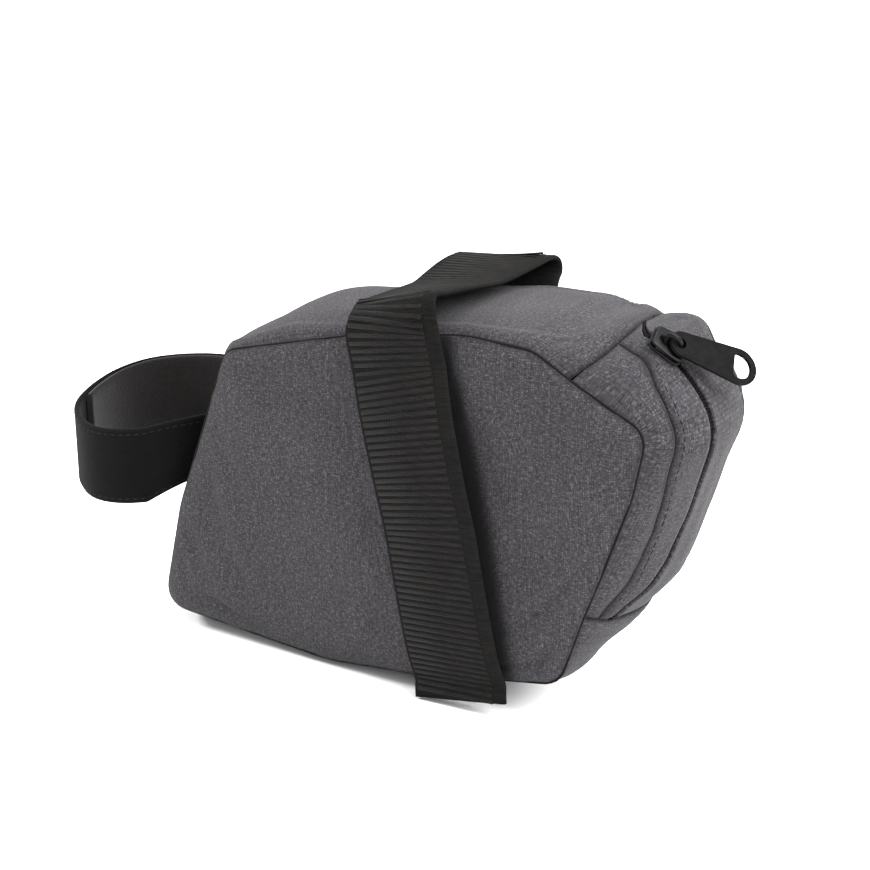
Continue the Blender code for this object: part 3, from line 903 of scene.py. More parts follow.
@dataclass
class Carcass:
    """The bag's form: the outline, its widths, and the far lower rear corner that is pushed in."""

    outline: Outline = field(default_factory=Outline)
    top_width: float = 0.070
    bottom_width: float = 0.058
    bulge: float = 0.0040
    roll: float = 0.011
    lid_bow: float = 0.004
    lid_reach: float = 0.032
    lid_square: int = 8
    wall: float = 0.0018
    seam_gap: float = 0.0007
    tuck_reach: float = 0.045
    tuck: tuple[float, float, float] = (0.0, -0.009, 0.013)

    def half_width(self, height: float) -> float:
        """Return half the width at the seams, at a height."""
        share = height / self.outline.height
        return (self.bottom_width + (self.top_width - self.bottom_width) * share) / 2

    def side_face(self, height: float, depth: float) -> float:
        """Return how far a side panel's face stands from the middle plane, by its depth inside the seam."""
        return self.half_width(height) + self.bulge * (1 - math.exp(-depth / self.roll))

    def side_offset(self, point: Vector) -> float:
        """Return how far a side panel's face stands from the middle plane at a place on the flat panel."""
        return self.side_face(point.y, self.outline.inset(point))

    def settle(self, point: Vector) -> Vector:
        """Push the far lower rear corner in.

        Args:
            point: A point of the body.

        Returns:
            The point as it lies on the worn bag.
        """
        corner, _ = self.outline.at(self.outline.stations["rear_bottom"])
        away = (point - Vector((corner.x, self.half_width(corner.y), corner.y))).length
        return point + Vector(self.tuck) * eased(max(0.0, 1 - away / self.tuck_reach))

    def band_point(self, distance: float, across: float) -> Vector:
        """Return a point on the band between the sides.

        Args:
            distance: How far along the outline it lies.
            across: Its place across the band, from -1 at the near side to 1 at the far side.

        Returns:
            The point.
        """
        lid = self.outline.stations["lid_seam"]
        near_lid = max(0.0, 1 - abs(distance - lid) / self.lid_reach)
        distance = distance + self.lid_bow * (1 - across ** self.lid_square) * near_lid
        point, normal = self.outline.at(distance)
        height, fullness = self.outline.crown(distance)
        lift = height * self.top_width * max(0.0, 1 - across ** 2) ** fullness
        inner = self.half_width(point.y) - self.wall - self.seam_gap
        place = point.x + normal.x * lift, inner * across, max(point.y + normal.y * lift, 0.0)
        return self.settle(Vector(place))

    def band_normal(self, distance: float, across: float, probe: float = 0.0008) -> Vector:
        """Return the band's outward normal by a small step each way.

        Args:
            distance: The place's distance along the outline.
            across: Its place across the band.
            probe: The step in metres.

        Returns:
            The normal.
        """
        share = probe / self.half_width(self.outline.height / 2)
        low, high = max(across - share, -0.999), min(across + share, 0.999)
        sideways = self.band_point(distance, high) - self.band_point(distance, low)
        along = self.band_point(distance + probe, across) - self.band_point(distance - probe, across)
        return along.cross(sideways).normalized()


@dataclass
class Relief:
    """What the cloth does that the pattern doesn't say: rolled edges, puckers at the seams and soft folds,
    and the painted shade in the seam grooves.
    """

    edge_drop: float = 0.0011
    edge_reach: float = 0.0016
    # How dark the painted shade in the seam grooves gets at its darkest
    painted_seam_shade: float = 0.8
    pucker: float = 0.00032
    pucker_pitch: float = 0.0085
    pucker_reach: float = 0.009
    fold: float = 0.0006
    fold_size: float = 0.030
    sink: float = 0.35
    fine_share: float = 0.45
    fine_size: float = 0.42
    calm: float = 0.012
    # The painted seam shade's reach over the rolled edge's
    shade_reach: float = 0.75

    def roll(self, to_edge: float) -> float:
        """Return how far the cloth turns in at a distance from its seam, as a negative height."""
        return -self.edge_drop * math.exp(-(max(to_edge, 0.0) / self.edge_reach) ** 1.4)

    def offset(self, point: Vector, to_edge: float, along: float) -> float:
        """Return how far puckers and folds stand off the form.

        Args:
            point: The place on the form.
            to_edge: Distance to the nearest seam.
            along: Distance along that seam.

        Returns:
            Metres outwards.
        """
        to_edge = max(to_edge, 0.0)
        wave = noise.noise(Vector((along / self.pucker_pitch, point.z * 12, 3.1)))
        drawn = self.pucker * wave * math.exp(-to_edge / self.pucker_reach)
        free = 1 - math.exp(-to_edge / self.calm)
        soft = noise.noise(point / self.fold_size + Vector((1.7, 4.2, 9.3)))
        fine = noise.noise(point / (self.fold_size * self.fine_size) + Vector((8.1, 2.2, 5.5)))
        return drawn + self.fold * free * (soft + self.fine_share * fine) - self.fold * self.sink

    def shade(self, to_edge: float) -> float:
        """Return how dark the painted shade in a seam's groove makes the cloth, by its nearness to the seam,
        from 0 to 1.
        """
        reach = self.edge_reach * self.shade_reach
        return self.painted_seam_shade * math.exp(-(max(to_edge, 0.0) / reach) ** 2)


@dataclass(frozen=True)
class Drape:
    """A short cloth run that lets a sewn panel find its own soft folds between its seams."""

    frames: int = 16
    slack: float = 0.008
    pressure: float = -0.25
    inward: float = 0.0012
    outward: float = 0.0004
    grip: float = 0.004
    mass: float = 0.12
    bending: float = 1.5

    def held(self, to_edge: float) -> float:
        """Return how firmly a seam holds the cloth at a distance from it, from 0 to 1."""
        return min(1.0, max(0.0, 2.0 - to_edge / self.grip))

    def run(self, item: bpy.types.Object, to_edges: Sequence[float]) -> None:
        """Let the panel settle, no further than its caps, and keep the result in its mesh.

        Args:
            item: The open sheet, before it has its wall.
            to_edges: Each point's distance to its nearest seam.
        """
        group = item.vertex_groups.new(name="held")
        for index, to_edge in enumerate(to_edges):
            group.add([index], self.held(to_edge), "REPLACE")
        cloth = item.modifiers.new("drape", "CLOTH")
        cloth.settings.vertex_group_mass = group.name
        cloth.settings.mass = self.mass
        cloth.settings.quality = 5
        cloth.settings.bending_stiffness = self.bending
        cloth.settings.shrink_min = -self.slack
        cloth.settings.use_pressure = True
        cloth.settings.uniform_pressure_force = self.pressure
        cloth.collision_settings.use_collision = False
        cloth.point_cache.frame_start = 1
        cloth.point_cache.frame_end = self.frames
        for frame in range(1, self.frames + 1):
            bpy.context.scene.frame_set(frame)
        settled = item.evaluated_get(bpy.context.evaluated_depsgraph_get()).data
        moved = []
        for vert, rest in zip(settled.vertices, item.data.vertices):
            step = vert.co - rest.co
            out = max(-self.inward, min(self.outward, step.dot(rest.normal)))
            place = rest.co + rest.normal * out
            place.z = max(place.z, 0.0)
            moved.append(place)
        item.modifiers.clear()
        item.vertex_groups.clear()
        for vert, place in zip(item.data.vertices, moved):
            vert.co = place
        bpy.context.scene.frame_set(1)


@dataclass
class Shell:
    """The cloth body: two sides, top, front, bottom, and the rear cap with its arched zip."""

    carcass: Carcass
    palette: Palette
    rows: RowTree
    strap_edge: Sequence[tuple[float, float]]
    relief: Relief = field(default_factory=Relief)
    drape: Drape = field(default_factory=Drape)
    # A painted shadow on the near side's cloth by the strap's rear edge: how dark it is, and how far it goes
    # on beyond the edge and in under the strap
    painted_strap_shadow: float = 0.96
    strap_fade: float = 0.0030
    strap_depth: float = 0.0120
    cell: float = 0.0016
    least_cells: int = 6
    # How much closer a panel's columns lie by its edges, and the height where its width is measured
    crowding: float = 0.40
    measured_at: float = 0.100
    trim: float = 0.00012
    band_fill: float = 0.3
    side_fill: float = 0.4
    side_rings: int = 44
    side_trim: float = 0.0004
    side_stand: float = 0.0002
    side_roll: float = 0.8
    welt_radius: float = 0.0006
    welt_inset: float = 0.0005
    welt_depth: float = 0.0012
    welt_floor: float = 0.0008
    welt_points: int = 240
    # The zip's flaps stand up a little where they meet it
    flap_rise: float = 0.0005
    flap_reach: float = 0.0035
    zip_half: float = 0.0015
    tape_half: float = 0.0024
    tape_depth: float = 0.0011
    tape_thick: float = 0.0006
    coil_pitch: float = 0.0011
    coil_size: tuple[float, float, float] = (0.00075, 0.0013, 0.0009)
    coil_depth: float = 0.0005
    coil_rows: tuple[tuple[str, float, float], ...] = (
        # name, place beside the zip's middle, start as a share of the way down
        ("inner", -0.00036, 0.0), ("outer", 0.00036, 0.0035))
    # How far the stitches lie from their seams and below the cloth's face, and how much of the lid has them
    stitch_inset: float = 0.0022
    leg_sunk: float = 0.0004
    lid_sunk: float = 0.00055
    lid_stitched: float = 0.93
    stitch_pitch: float = 0.0029
    stitch_size: tuple[float, float, float] = (0.0021, 0.00042, 0.00034)
    front_turn: float = 0.011
    brim: float = 0.0015
    side_dents: tuple[tuple[float, float, float, float], ...] = (
        # along, up, radius, depth: where the filled side sags in or stands out, in metres
        (-0.060, 0.070, 0.030, 0.0007), (-0.040, 0.030, 0.026, 0.0009), (0.060, 0.075, 0.022, 0.0010),
        (0.052, 0.112, 0.016, 0.0010), (0.020, 0.118, 0.020, -0.0005), (0.078, 0.040, 0.020, -0.0005),
        (-0.082, 0.040, 0.020, -0.0006), (0.060, 0.030, 0.018, 0.0007),
    )
    zip_leg: tuple[tuple[float, float], ...] = (
        (0.00, 0.12), (0.03, 0.34), (0.06, 0.46), (0.12, 0.53), (0.20, 0.48), (0.29, 0.42),
        (0.36, 0.42), (0.46, 0.37), (0.58, 0.36), (0.74, 0.44), (0.88, 0.60), (1.00, 0.74),
    )
    side_leg: tuple[tuple[float, float], ...] = (
        (0.00, 0.61), (0.07, 0.70), (0.17, 0.76), (0.28, 0.84), (0.36, 0.84),
        (0.50, 0.80), (0.62, 0.77), (0.75, 0.79), (0.89, 0.83), (1.00, 0.88),
    )

    def _patch(self, name: str, start: float, end: float, low: Edge, high: Edge,
               open_low: bool = False, open_high: bool = False) -> bpy.types.Object:
        """Sew one panel of the band.

        Args:
            name: The CAD node that it stands for.
            start: Where it begins along the outline.
            end: Where it ends.
            low: Its near edge, as a share of the half width, for a share of the way along.
            high: Its far edge.
            open_low: True where the near edge is a zip's flap, which lies flat.
            open_high: True where the far edge is a zip's flap.

        Returns:
            The finished panel.
        """
        carcass = self.carcass
        wide = max(abs(high(share) - low(share)) for share in (0.1, 0.3, 0.5, 0.7, 0.9))
        columns = max(self.least_cells, round(wide * carcass.half_width(self.measured_at) / self.cell))
        sheet, grid, to_edges = ClothMesh(), [], []
        for share in spread(0.0, 1.0, max(self.least_cells, round((end - start) / self.cell))):
            distance = start + self.trim + (end - start - 2 * self.trim) * share
            left, right = low(share), high(share)
            row = []
            for part in spread(0.0, 1.0, columns):
                crowded = part - self.crowding * math.sin(2 * math.pi * part) / (2 * math.pi)
                across = left + (right - left) * crowded
                half = carcass.half_width(carcass.band_point(distance, across).z)
                sides = ((across - left) * half, open_low), ((right - across) * half, open_high)
                sewn = [gap for gap, is_open in sides if not is_open]
                to_edge = min([distance - start, end - distance] + sewn)
                to_flap = min([1.0] + [gap for gap, is_open in sides if is_open])
                place = self._band_place(distance, across, to_edge, to_flap)
                # Each point carries its painted shade in the seam grooves
                row.append(sheet.point(place, (distance, across * half), self.relief.shade(to_edge)))
                to_edges.append(min(to_edge, to_flap))
            grid.append(row)
        sheet.rows(grid)
        item = mesh_object(f"{name}_cloth", sheet.finish(name), self.palette.band)
        return self._sewn(item, name, to_edges)

    def _band_place(self, distance: float, across: float, to_edge: float, to_flap: float) -> Vector:
        """Return a point of the band's cloth, with its relief.

        Args:
            distance: How far along the outline it lies.
            across: Its place across the band.
            to_edge: Distance to the nearest seam.
            to_flap: Distance to the nearest flap of the zip.

        Returns:
            The point.
        """
        point = self.carcass.band_point(distance, across)
        stand = self.relief.offset(point, to_edge, distance + point.y)
        stand += self.flap_rise * math.exp(-(to_flap / self.flap_reach) ** 2)
        outward = self.carcass.outline.at(distance)[1]
        rolled = Vector((outward.x, 0.0, outward.y)) * self.relief.roll(to_edge)
        place = point + self.carcass.band_normal(distance, across) * stand + rolled
        place.z = max(place.z, 0.0)
        return place

    def _sewn(self, item: bpy.types.Object, name: str, to_edges: Sequence[float]) -> bpy.types.Object:
        """Let a panel settle, give it its wall, and tell the frame about it.

        Args:
            item: The panel's open sheet.
            name: The CAD node that it stands for.
            to_edges: Each point's distance to its nearest seam.

        Returns:
            The finished panel.
        """
        self.drape.run(item, to_edges)
        thicken(item, self.carcass.wall)
        return settle_on_frame(item, "bag", Finish.CLOTH, name)

    def _side(self, name: str, side: int) -> bpy.types.Object:
        """Sew one side panel: rings from the seam to the middle, each a little fuller than the last.

        Args:
            name: The CAD node that it stands for.
            side: -1 for the near side, 1 for the far one.

        Returns:
            The finished panel.
        """
        outline = self.carcass.outline
        count = round(outline.total / self.cell / 1.25)
        centre = Vector((outline.length / 2 - outline.reach, outline.height / 2))
        sheet, grid = ClothMesh(), []
        for ring in range(self.side_rings):
            share = (ring / self.side_rings) ** 1.35
            row = []
            for along in spread(0.0, outline.total, count)[:-1]:
                point, normal = outline.at(along)
                flat = (point - normal * self.side_trim).lerp(centre, share)
                row.append(self._side_point(sheet, flat, side, along))
            grid.append(row)
        middle = self._side_point(sheet, centre, side, 0.0)
        sheet.rings(grid)
        for corner, after in zip(grid[-1], grid[-1][1:] + grid[-1][:1]):
            sheet.face(corner, after, middle)
        to_edges = [outline.inset(Vector(flat)) for flat in sheet.flat.values()]
        faces = sheet.work.faces
        bmesh.ops.recalc_face_normals(sheet.work, faces=faces)
        if sum(face.normal.y for face in faces) * side < 0:
            bmesh.ops.reverse_faces(sheet.work, faces=faces)
        item = mesh_object(f"{name}_cloth", sheet.finish(name), self.palette.cloth)
        return self._sewn(item, name, to_edges)

    def _side_point(self, sheet: ClothMesh, flat: Vector, side: int, along: float) -> bmesh.types.BMVert:
        """Add one point of a side panel, with its relief, dents and painted shade.

        Args:
            sheet: The panel in the making.
            flat: The point's place on the flat panel.
            side: -1 for the near side, 1 for the far one.
            along: How far along the outline it lies.

        Returns:
            The point.
        """
        depth = self.carcass.outline.inset(flat)
        place = Vector((flat.x, side * self.carcass.side_face(flat.y, depth), flat.y))
        stand = self.relief.offset(place, depth, along) + self.relief.roll(depth) * self.side_roll
        for x, z, radius, sag in self.side_dents:
            away = math.hypot(flat.x - x, flat.y - z) / radius
            stand -= sag * math.exp(-away * away)
        place.y += side * (stand + self.side_stand)
        # Painted shade in the seam grooves, and on the near side a painted shadow beside the strap's rear
        # edge
        shade = max(self.relief.shade(depth), self._painted_strap_shadow(flat) if side < 0 else 0.0)
        return sheet.point(self.carcass.settle(place), (flat.x, flat.y), shade)

    def _painted_strap_shadow(self, flat: Vector) -> float:
        """Return the painted shadow on the cloth where the saddle strap keeps the light off it.

        Args:
            flat: The place on the flat side panel.

        Returns:
            The shade, from 0 to 1.
        """
        beyond = flat.x - interpolate(self.strap_edge, flat.y)
        if beyond > 0.0:
            return self.painted_strap_shadow * math.exp(-(beyond / self.strap_fade) ** 2)
        return self.painted_strap_shadow * min(1.0, max(0.0, 2.0 + beyond / self.strap_depth))

    def _welt(self, name: str, side: int) -> bpy.types.Object:
        """Lay the turned seam that closes a side panel, in the bottom of its groove.

        Args:
            name: The CAD node that it stands for.
            side: -1 for the near side, 1 for the far one.

        Returns:
            The finished seam.
        """
        carcass, outline = self.carcass, self.carcass.outline
        points = []
        for along in spread(0.0, outline.total, self.welt_points)[:-1]:
            point, normal = outline.at(along)
            flat = point - normal * self.welt_inset
            beside = side * (carcass.half_width(point.y) - self.welt_depth)
            points.append(carcass.settle(Vector((flat.x, beside, max(flat.y, self.welt_floor)))))
        mesh = curve_mesh(closed_curve(name, "3D", [points], self.welt_radius))
        mesh.shade_smooth()
        return settle_on_frame(mesh_object(f"{name}_welt", mesh, self.palette.seam), "bag", Finish.SEAM, name)

    def _leg_path(self, side: int, table: Sequence[tuple[float, float]], shift: float = 0.0,
                  drop: float = 0.0, start: float = 0.0, end: float = 1.0) -> tuple[Row, Row]:
        """Return the points and facings of a line down the rear cap.

        Args:
            side: -1 for the near leg, 1 for the far one.
            table: The line's share of the half width, by its share of the way down.
            shift: Metres outwards from the line.
            drop: Metres below the cloth's face.
            start: Where it begins, as a share of the way down.
            end: Where it ends.

        Returns:
            The points and the directions off the cloth.
        """
        carcass, mark = self.carcass, self.carcass.outline.stations
        lid, zip_end = mark["lid_seam"], mark["zip_end"]
        points, facings = [], []
        for share in spread(start, end, 90):
            distance = lid + (zip_end - lid) * share
            across = interpolate(table, share)
            half = carcass.half_width(carcass.outline.at(distance)[0].y)
            across = side * (across + shift / half)
            facing = carcass.band_normal(distance, across)
            points.append(carcass.band_point(distance, across) - facing * drop)
            facings.append(facing)
        return points, facings

    def _zip(self, name: str, side: int) -> list[bpy.types.Object]:
        """Lay one leg of the zip: a sunk tape and two rows of coil.

        Args:
            name: The CAD node that the tape stands for.
            side: -1 for the near leg, 1 for the far one.

        Returns:
            The tape and the rows of coil.
        """
        tracks = [self._leg_path(side, self.zip_leg, shift, self.tape_depth)[0]
                  for shift in (-self.tape_half, 0.0, self.tape_half)]
        if side < 0:
            # The tape's face looks outwards on both legs
            tracks.reverse()
        sheet = ClothMesh()
        sheet.rows([[sheet.point(place, (0.001 * index, 0.001 * column)) for column, place in enumerate(row)]
                    for index, row in enumerate(zip(*tracks))])
        tape = mesh_object(f"{name}_knit", sheet.finish(name), self.palette.tape)
        thicken(tape, self.tape_thick)
        made = [settle_on_frame(tape, "bag", Finish.TAPE, name)]
        for label, shift, begin in self.coil_rows:
            path = self._leg_path(side, self.zip_leg, shift, self.coil_depth, begin)
            coil = self.rows.lay(f"{name}_coil_{label}", *path, self.coil_pitch, self.coil_size,
                                 self.palette.coil)
            made.append(settle_on_frame(coil, "bag", Finish.TAPE))
        return made

    def _stitched(self, name: str, path: tuple[Row, Row], thread: bpy.types.Material) -> bpy.types.Object:
        """Sew one row of lockstitches.

        Args:
            name: The row's name.
            path: Its points, and the directions off the cloth.
            thread: The thread's material.

        Returns:
            The row.
        """
        row = self.rows.lay(name, *path, self.stitch_pitch, self.stitch_size, thread, 0.00002, 0.10)
        return settle_on_frame(row, "bag", Finish.SEAM)

    def _lid_stitches(self) -> bpy.types.Object:
        """Sew the topstitch that holds the top panel's rear seam.

        Returns:
            The row.
        """
        distance = self.carcass.outline.stations["lid_seam"] - self.stitch_inset
        points, facings = [], []
        for across in spread(-self.lid_stitched, self.lid_stitched, 120):
            facing = self.carcass.band_normal(distance, across)
            points.append(self.carcass.band_point(distance, across) - facing * self.lid_sunk)
            facings.append(facing)
        return self._stitched("lid_topstitch", (points, facings), self.palette.pale_thread)

    def build(self) -> list[bpy.types.Object]:
        """Make every piece of the cloth body.

        Returns:
            The pieces.
        """
        carcass, mark = self.carcass, self.carcass.outline.stations
        top, lid = mark["front_top"] - self.front_turn, mark["lid_seam"]
        zip_end, front_low = mark["zip_end"], mark["front_bottom"] + self.front_turn
        half = self.zip_half / carcass.half_width(self.measured_at)
        brim = 1 + self.brim / carcass.half_width(carcass.outline.height / 2)

        def leg(share: float) -> float:
            """Return the zip's share of the half width."""
            return interpolate(self.zip_leg, share)

        def seam(share: float) -> float:
            """Return the stitched seam's share of the half width."""
            return interpolate(self.side_leg, share)

        def near(share: float) -> float:
            """Return the near edge's share of the half width."""
            return -brim

        def far(share: float) -> float:
            """Return the far edge's share of the half width."""
            return brim

        made = [
            self._patch("top_panel", top, lid, near, far),
            self._patch("bottom_panel", zip_end, front_low, near, far),
            self._patch("front_panel", front_low, carcass.outline.total + top, near, far),
            self._patch("gusset_far", lid, zip_end, seam, far),
            self._patch("gusset_near", lid, zip_end, near, lambda share: -seam(share)),
            self._patch("zip_gusset_far", lid, zip_end, lambda share: leg(share) + half, seam, open_low=True),
            self._patch("zip_gusset_near", lid, zip_end, lambda share: -seam(share),
                        lambda share: -leg(share) - half, open_high=True),
            self._patch("rear_door", lid, zip_end, lambda share: half - leg(share),
                        lambda share: leg(share) - half, True, True),
        ]
        for name, side in (("near", -1), ("far", 1)):
            made += [self._side(f"side_{name}", side), self._welt(f"seam_{name}", side)]
            made += self._zip(f"zip_tape_{name}", side)
            path = self._leg_path(side, self.side_leg, -self.stitch_inset, self.leg_sunk, 0.04, 0.98)
            made.append(self._stitched(f"gusset_stitch_{name}", path, self.palette.thread))
        return made + [self._lid_stitches()]


def strip_mesh(name: str, centres: Row, widths: Row, width: float, thickness: float,
               columns: int = 14) -> bpy.types.Mesh:
    """Make a closed strap: flat faces, round edges and closed ends, with a cloth map in metres.

    Args:
        name: The mesh's name.
        centres: The strap's middle line.
        widths: The direction across it at each point.
        width: Its width.
        thickness: Its thickness.
        columns: How many faces lie across each flat side.

    Returns:
        The mesh.
    """
    flat, radius = (width - thickness) / 2, thickness / 2
    section = []
    for sign, turns in ((1, (0.25, 0.0, -0.25)), (-1, (-0.75, 1.0, 0.75))):
        section += [(sign * place, sign * radius) for place in spread(-flat, flat, columns)]
        section += [(sign * flat + radius * math.cos(turn * math.pi), radius * math.sin(turn * math.pi))
                    for turn in turns]
    strip, rings, reach = ClothMesh(), [], 0.0
    for index, centre in enumerate(centres):
        before, after = either_side(centres, index)
        across = widths[index].normalized()
        out = across.cross(after - before).normalized()
        reach += (centre - before).length
        # The cloth map's second face lies beside its first
        rings.append([strip.point(centre + across * y + out * z, (reach, y + (width * 1.5 if z < 0 else 0.0)))
                      for y, z in section])
    strip.rings(rings)
    strip.work.faces.new(rings[0])
    strip.work.faces.new(rings[-1][::-1])
    bmesh.ops.recalc_face_normals(strip.work, faces=strip.work.faces)
    return strip.finish(name)


@dataclass
class SaddleStrap:
    """The ribbed webbing that goes over the saddle's rails and down both sides."""

    carcass: Carcass
    palette: Palette
    bars: RowTree
    width: float = 0.038
    thickness: float = 0.0018
    slant: float = math.radians(10.6)
    foot_x: float = 0.0302
    foot_z: float = 0.0043
    crest: float = 0.1452
    lift: float = 0.0006
    far_foot: float = 0.0180
    sag: float = 0.0045
    # The share of the height where the strap leaves the sides for the fold over the top
    leaves: float = 0.86
    # How much of the rear edge's lift turns the strap, and how much of it moves the strap to the rear
    lean: float = 0.35
    trail: float = 0.40
    rib_pitch: float = 0.0025
    rib_shift: float = 0.0018
    rib_sink: float = 0.00012
    rib_size: tuple[float, float, float] = (0.0017, 0.0310, 0.0006)
    over: tuple[tuple[float, float, float, float], ...] = (
        # across, rise, outwards, upwards
        (-1.00, -1.75, -0.02, 0.20), (-0.99, -0.35, -0.10, 0.24), (-0.90, 0.70, -0.20, 0.27),
        (-0.74, 0.60, -0.15, 0.25), (-0.32, 0.30, -0.04, 0.20), (0.00, 0.04, 0.00, 0.16),
        (0.18, 0.00, 0.04, 0.14), (0.40, 0.20, 0.10, 0.10), (0.66, 0.45, 0.18, 0.06),
        (0.92, 0.58, 0.28, 0.04), (1.06, 0.38, 0.30, 0.05), (1.15, -0.25, 0.26, 0.07),
        (1.17, -1.15, 0.18, 0.10), (1.13, -2.10, 0.07, 0.15),
    )
    rear_lift: tuple[tuple[float, float], ...] = (
        # share of the height, how far the rear edge stands off the side in metres
        (0.0, 0.0), (0.18, 0.0032), (0.36, 0.0052), (0.60, 0.0054), (0.76, 0.0030), (0.86, 0.0))
    bow: tuple[tuple[float, float], ...] = (
        (0.0, 0.0), (0.25, 0.05), (0.45, 0.075), (0.70, 0.045), (0.90, 0.03), (1.0, 0.08))

    def _width_way(self, turn: float = 0.0) -> Vector:
        """Return the direction across the strap on a side, turned a little away from the side."""
        return Vector((math.cos(self.slant), turn, math.sin(self.slant)))

    def _middle(self, rise: float) -> Vector:
        """Return the strap's middle on the plane of symmetry.

        Args:
            rise: The distance up its slant.

        Returns:
            The point.
        """
        up = Vector((-math.sin(self.slant), 0.0, math.cos(self.slant)))
        bow = interpolate(self.bow, rise / (self.crest / up.z)) * self.width
        return Vector((self.foot_x, 0.0, self.foot_z)) + up * rise + self._width_way() * bow

    def _side(self, side: int, start: float, end: float, count: int) -> Row:
        """Lay the strap down one side panel.

        Args:
            side: -1 for the near side, 1 for the far one.
            start: Where it begins, as a distance up its slant.
            end: Where it ends.
            count: How many steps it has.

        Returns:
            The strap's centres.
        """
        centres = []
        for rise in spread(start, end, count):
            middle = self._middle(rise)
            edges = [middle + self._width_way() * self.width * share for share in spread(-0.5, 0.5, 4)]
            reach = max(self.carcass.side_offset(Vector((edge.x, edge.z))) for edge in edges)
            centres.append(middle + Vector((0.0, side * (reach + self.lift + self.thickness / 2), 0.0)))
        return centres

    def _stand_off(self, centre: Vector, side: int) -> tuple[Vector, Vector]:
        """Lift the strap's rear edge off the side panel.

        Args:
            centre: The strap's middle as it lies on the panel.
            side: -1 for the near side, 1 for the far one.

        Returns:
            The middle and the direction across the strap.
        """
        share = min(max((centre.z - self.foot_z) / (self.crest - self.foot_z), 0.0), 1.0)
        lift = interpolate(self.rear_lift, share)
        wide = self._width_way(side * lift * self.lean / self.width).normalized()
        return centre + Vector((lift * self.trail, side * lift * (1 - self.lean / 2), 0.0)), wide

    def rear_edge(self) -> list[tuple[float, float]]:
        """Follow the strap's rear edge up the near side.

        Returns:
            The height and the place along the bag of points on it.
        """
        edges = []
        for rise in spread(-self.width, self.crest * 1.1, 40):
            # Below the foot the edge goes on in a straight line
            below = self._middle(min(rise, 0.0)) - self._middle(0.0)
            centre, _ = self._stand_off(self._middle(max(rise, 0.0)) + below, -1)
            edge = centre + self._width_way() * self.width / 2
            edges.append((edge.z, edge.x))
        return edges

    def build(self) -> list[bpy.types.Object]:
        """Make the strap and its cross ribs.

        Returns:
            The strap and the ribs.
        """
        carcass, flat = self.carcass, self._width_way()
        crest = (self.crest - self.foot_z) / math.cos(self.slant)
        near = self._side(-1, 0.0, self.leaves * crest, 60)
        far = self._side(1, self.leaves * crest, self.far_foot, 56)
        shoulder = carcass.half_width(carcass.outline.height) + carcass.bulge / 2 + self.lift + self.thickness
        over, turns = [near[-1]], [flat]
        for across, rise, outwards, upwards in self.over:
            over.append(self._middle(crest + rise * self.sag) + Vector((0.0, across * shoulder, 0.0)))
            turns.append(Vector((1.0, outwards, upwards)).normalized())
        over = smooth_path(over + [far[0]], 8)
        turns = [turn.normalized() for turn in smooth_path(turns + [flat], 8)]
        down = [self._stand_off(centre, -1) for centre in near[:-1]]
        up = [self._stand_off(centre, 1) for centre in far[1:]]
        centres, widths = (list(part) for part in zip(*down, *zip(over, turns), *up))
        mesh = strip_mesh("saddle_strap", centres, widths, self.width, self.thickness)
        strap = mesh_object("saddle_strap_webbing", mesh, self.palette.ground)
        settle_on_frame(strap, "bag", Finish.WEBBING, "saddle_strap")
        return [strap, self._ribs(centres, widths)]

    def _ribs(self, centres: Row, widths: Row) -> bpy.types.Object:
        """Weave the raised ribs across the outer face, clear of the smooth rear border.

        Args:
            centres: The strap's middle line.
            widths: The direction across it at each point.

        Returns:
            The ribs.
        """
        points, facings = [], []
        for index, centre in enumerate(centres[1:-1], 1):
            before, after = either_side(centres, index)
            out = widths[index].cross(before - after).normalized()
            out = out if out.dot(Vector((0.0, centre.y, 0.3 * abs(centre.y) + 0.01))) > 0 else -out
            raised = centre + out * (self.thickness / 2 - self.rib_sink)
            points.append(raised - widths[index] * self.rib_shift)
            facings.append(out)
        ribs = self.bars.lay("saddle_strap_ribs", points, facings, self.rib_pitch, self.rib_size,
                             self.palette.webbing)
        if "cloth" not in ribs.data.uv_layers:
            layer = ribs.data.uv_layers.new(name="cloth")
            for loop in ribs.data.loops:
                place = ribs.data.vertices[loop.vertex_index].co
                layer.data[loop.index].uv = (place.z, place.x)
        return settle_on_frame(ribs, "bag", Finish.WEBBING)


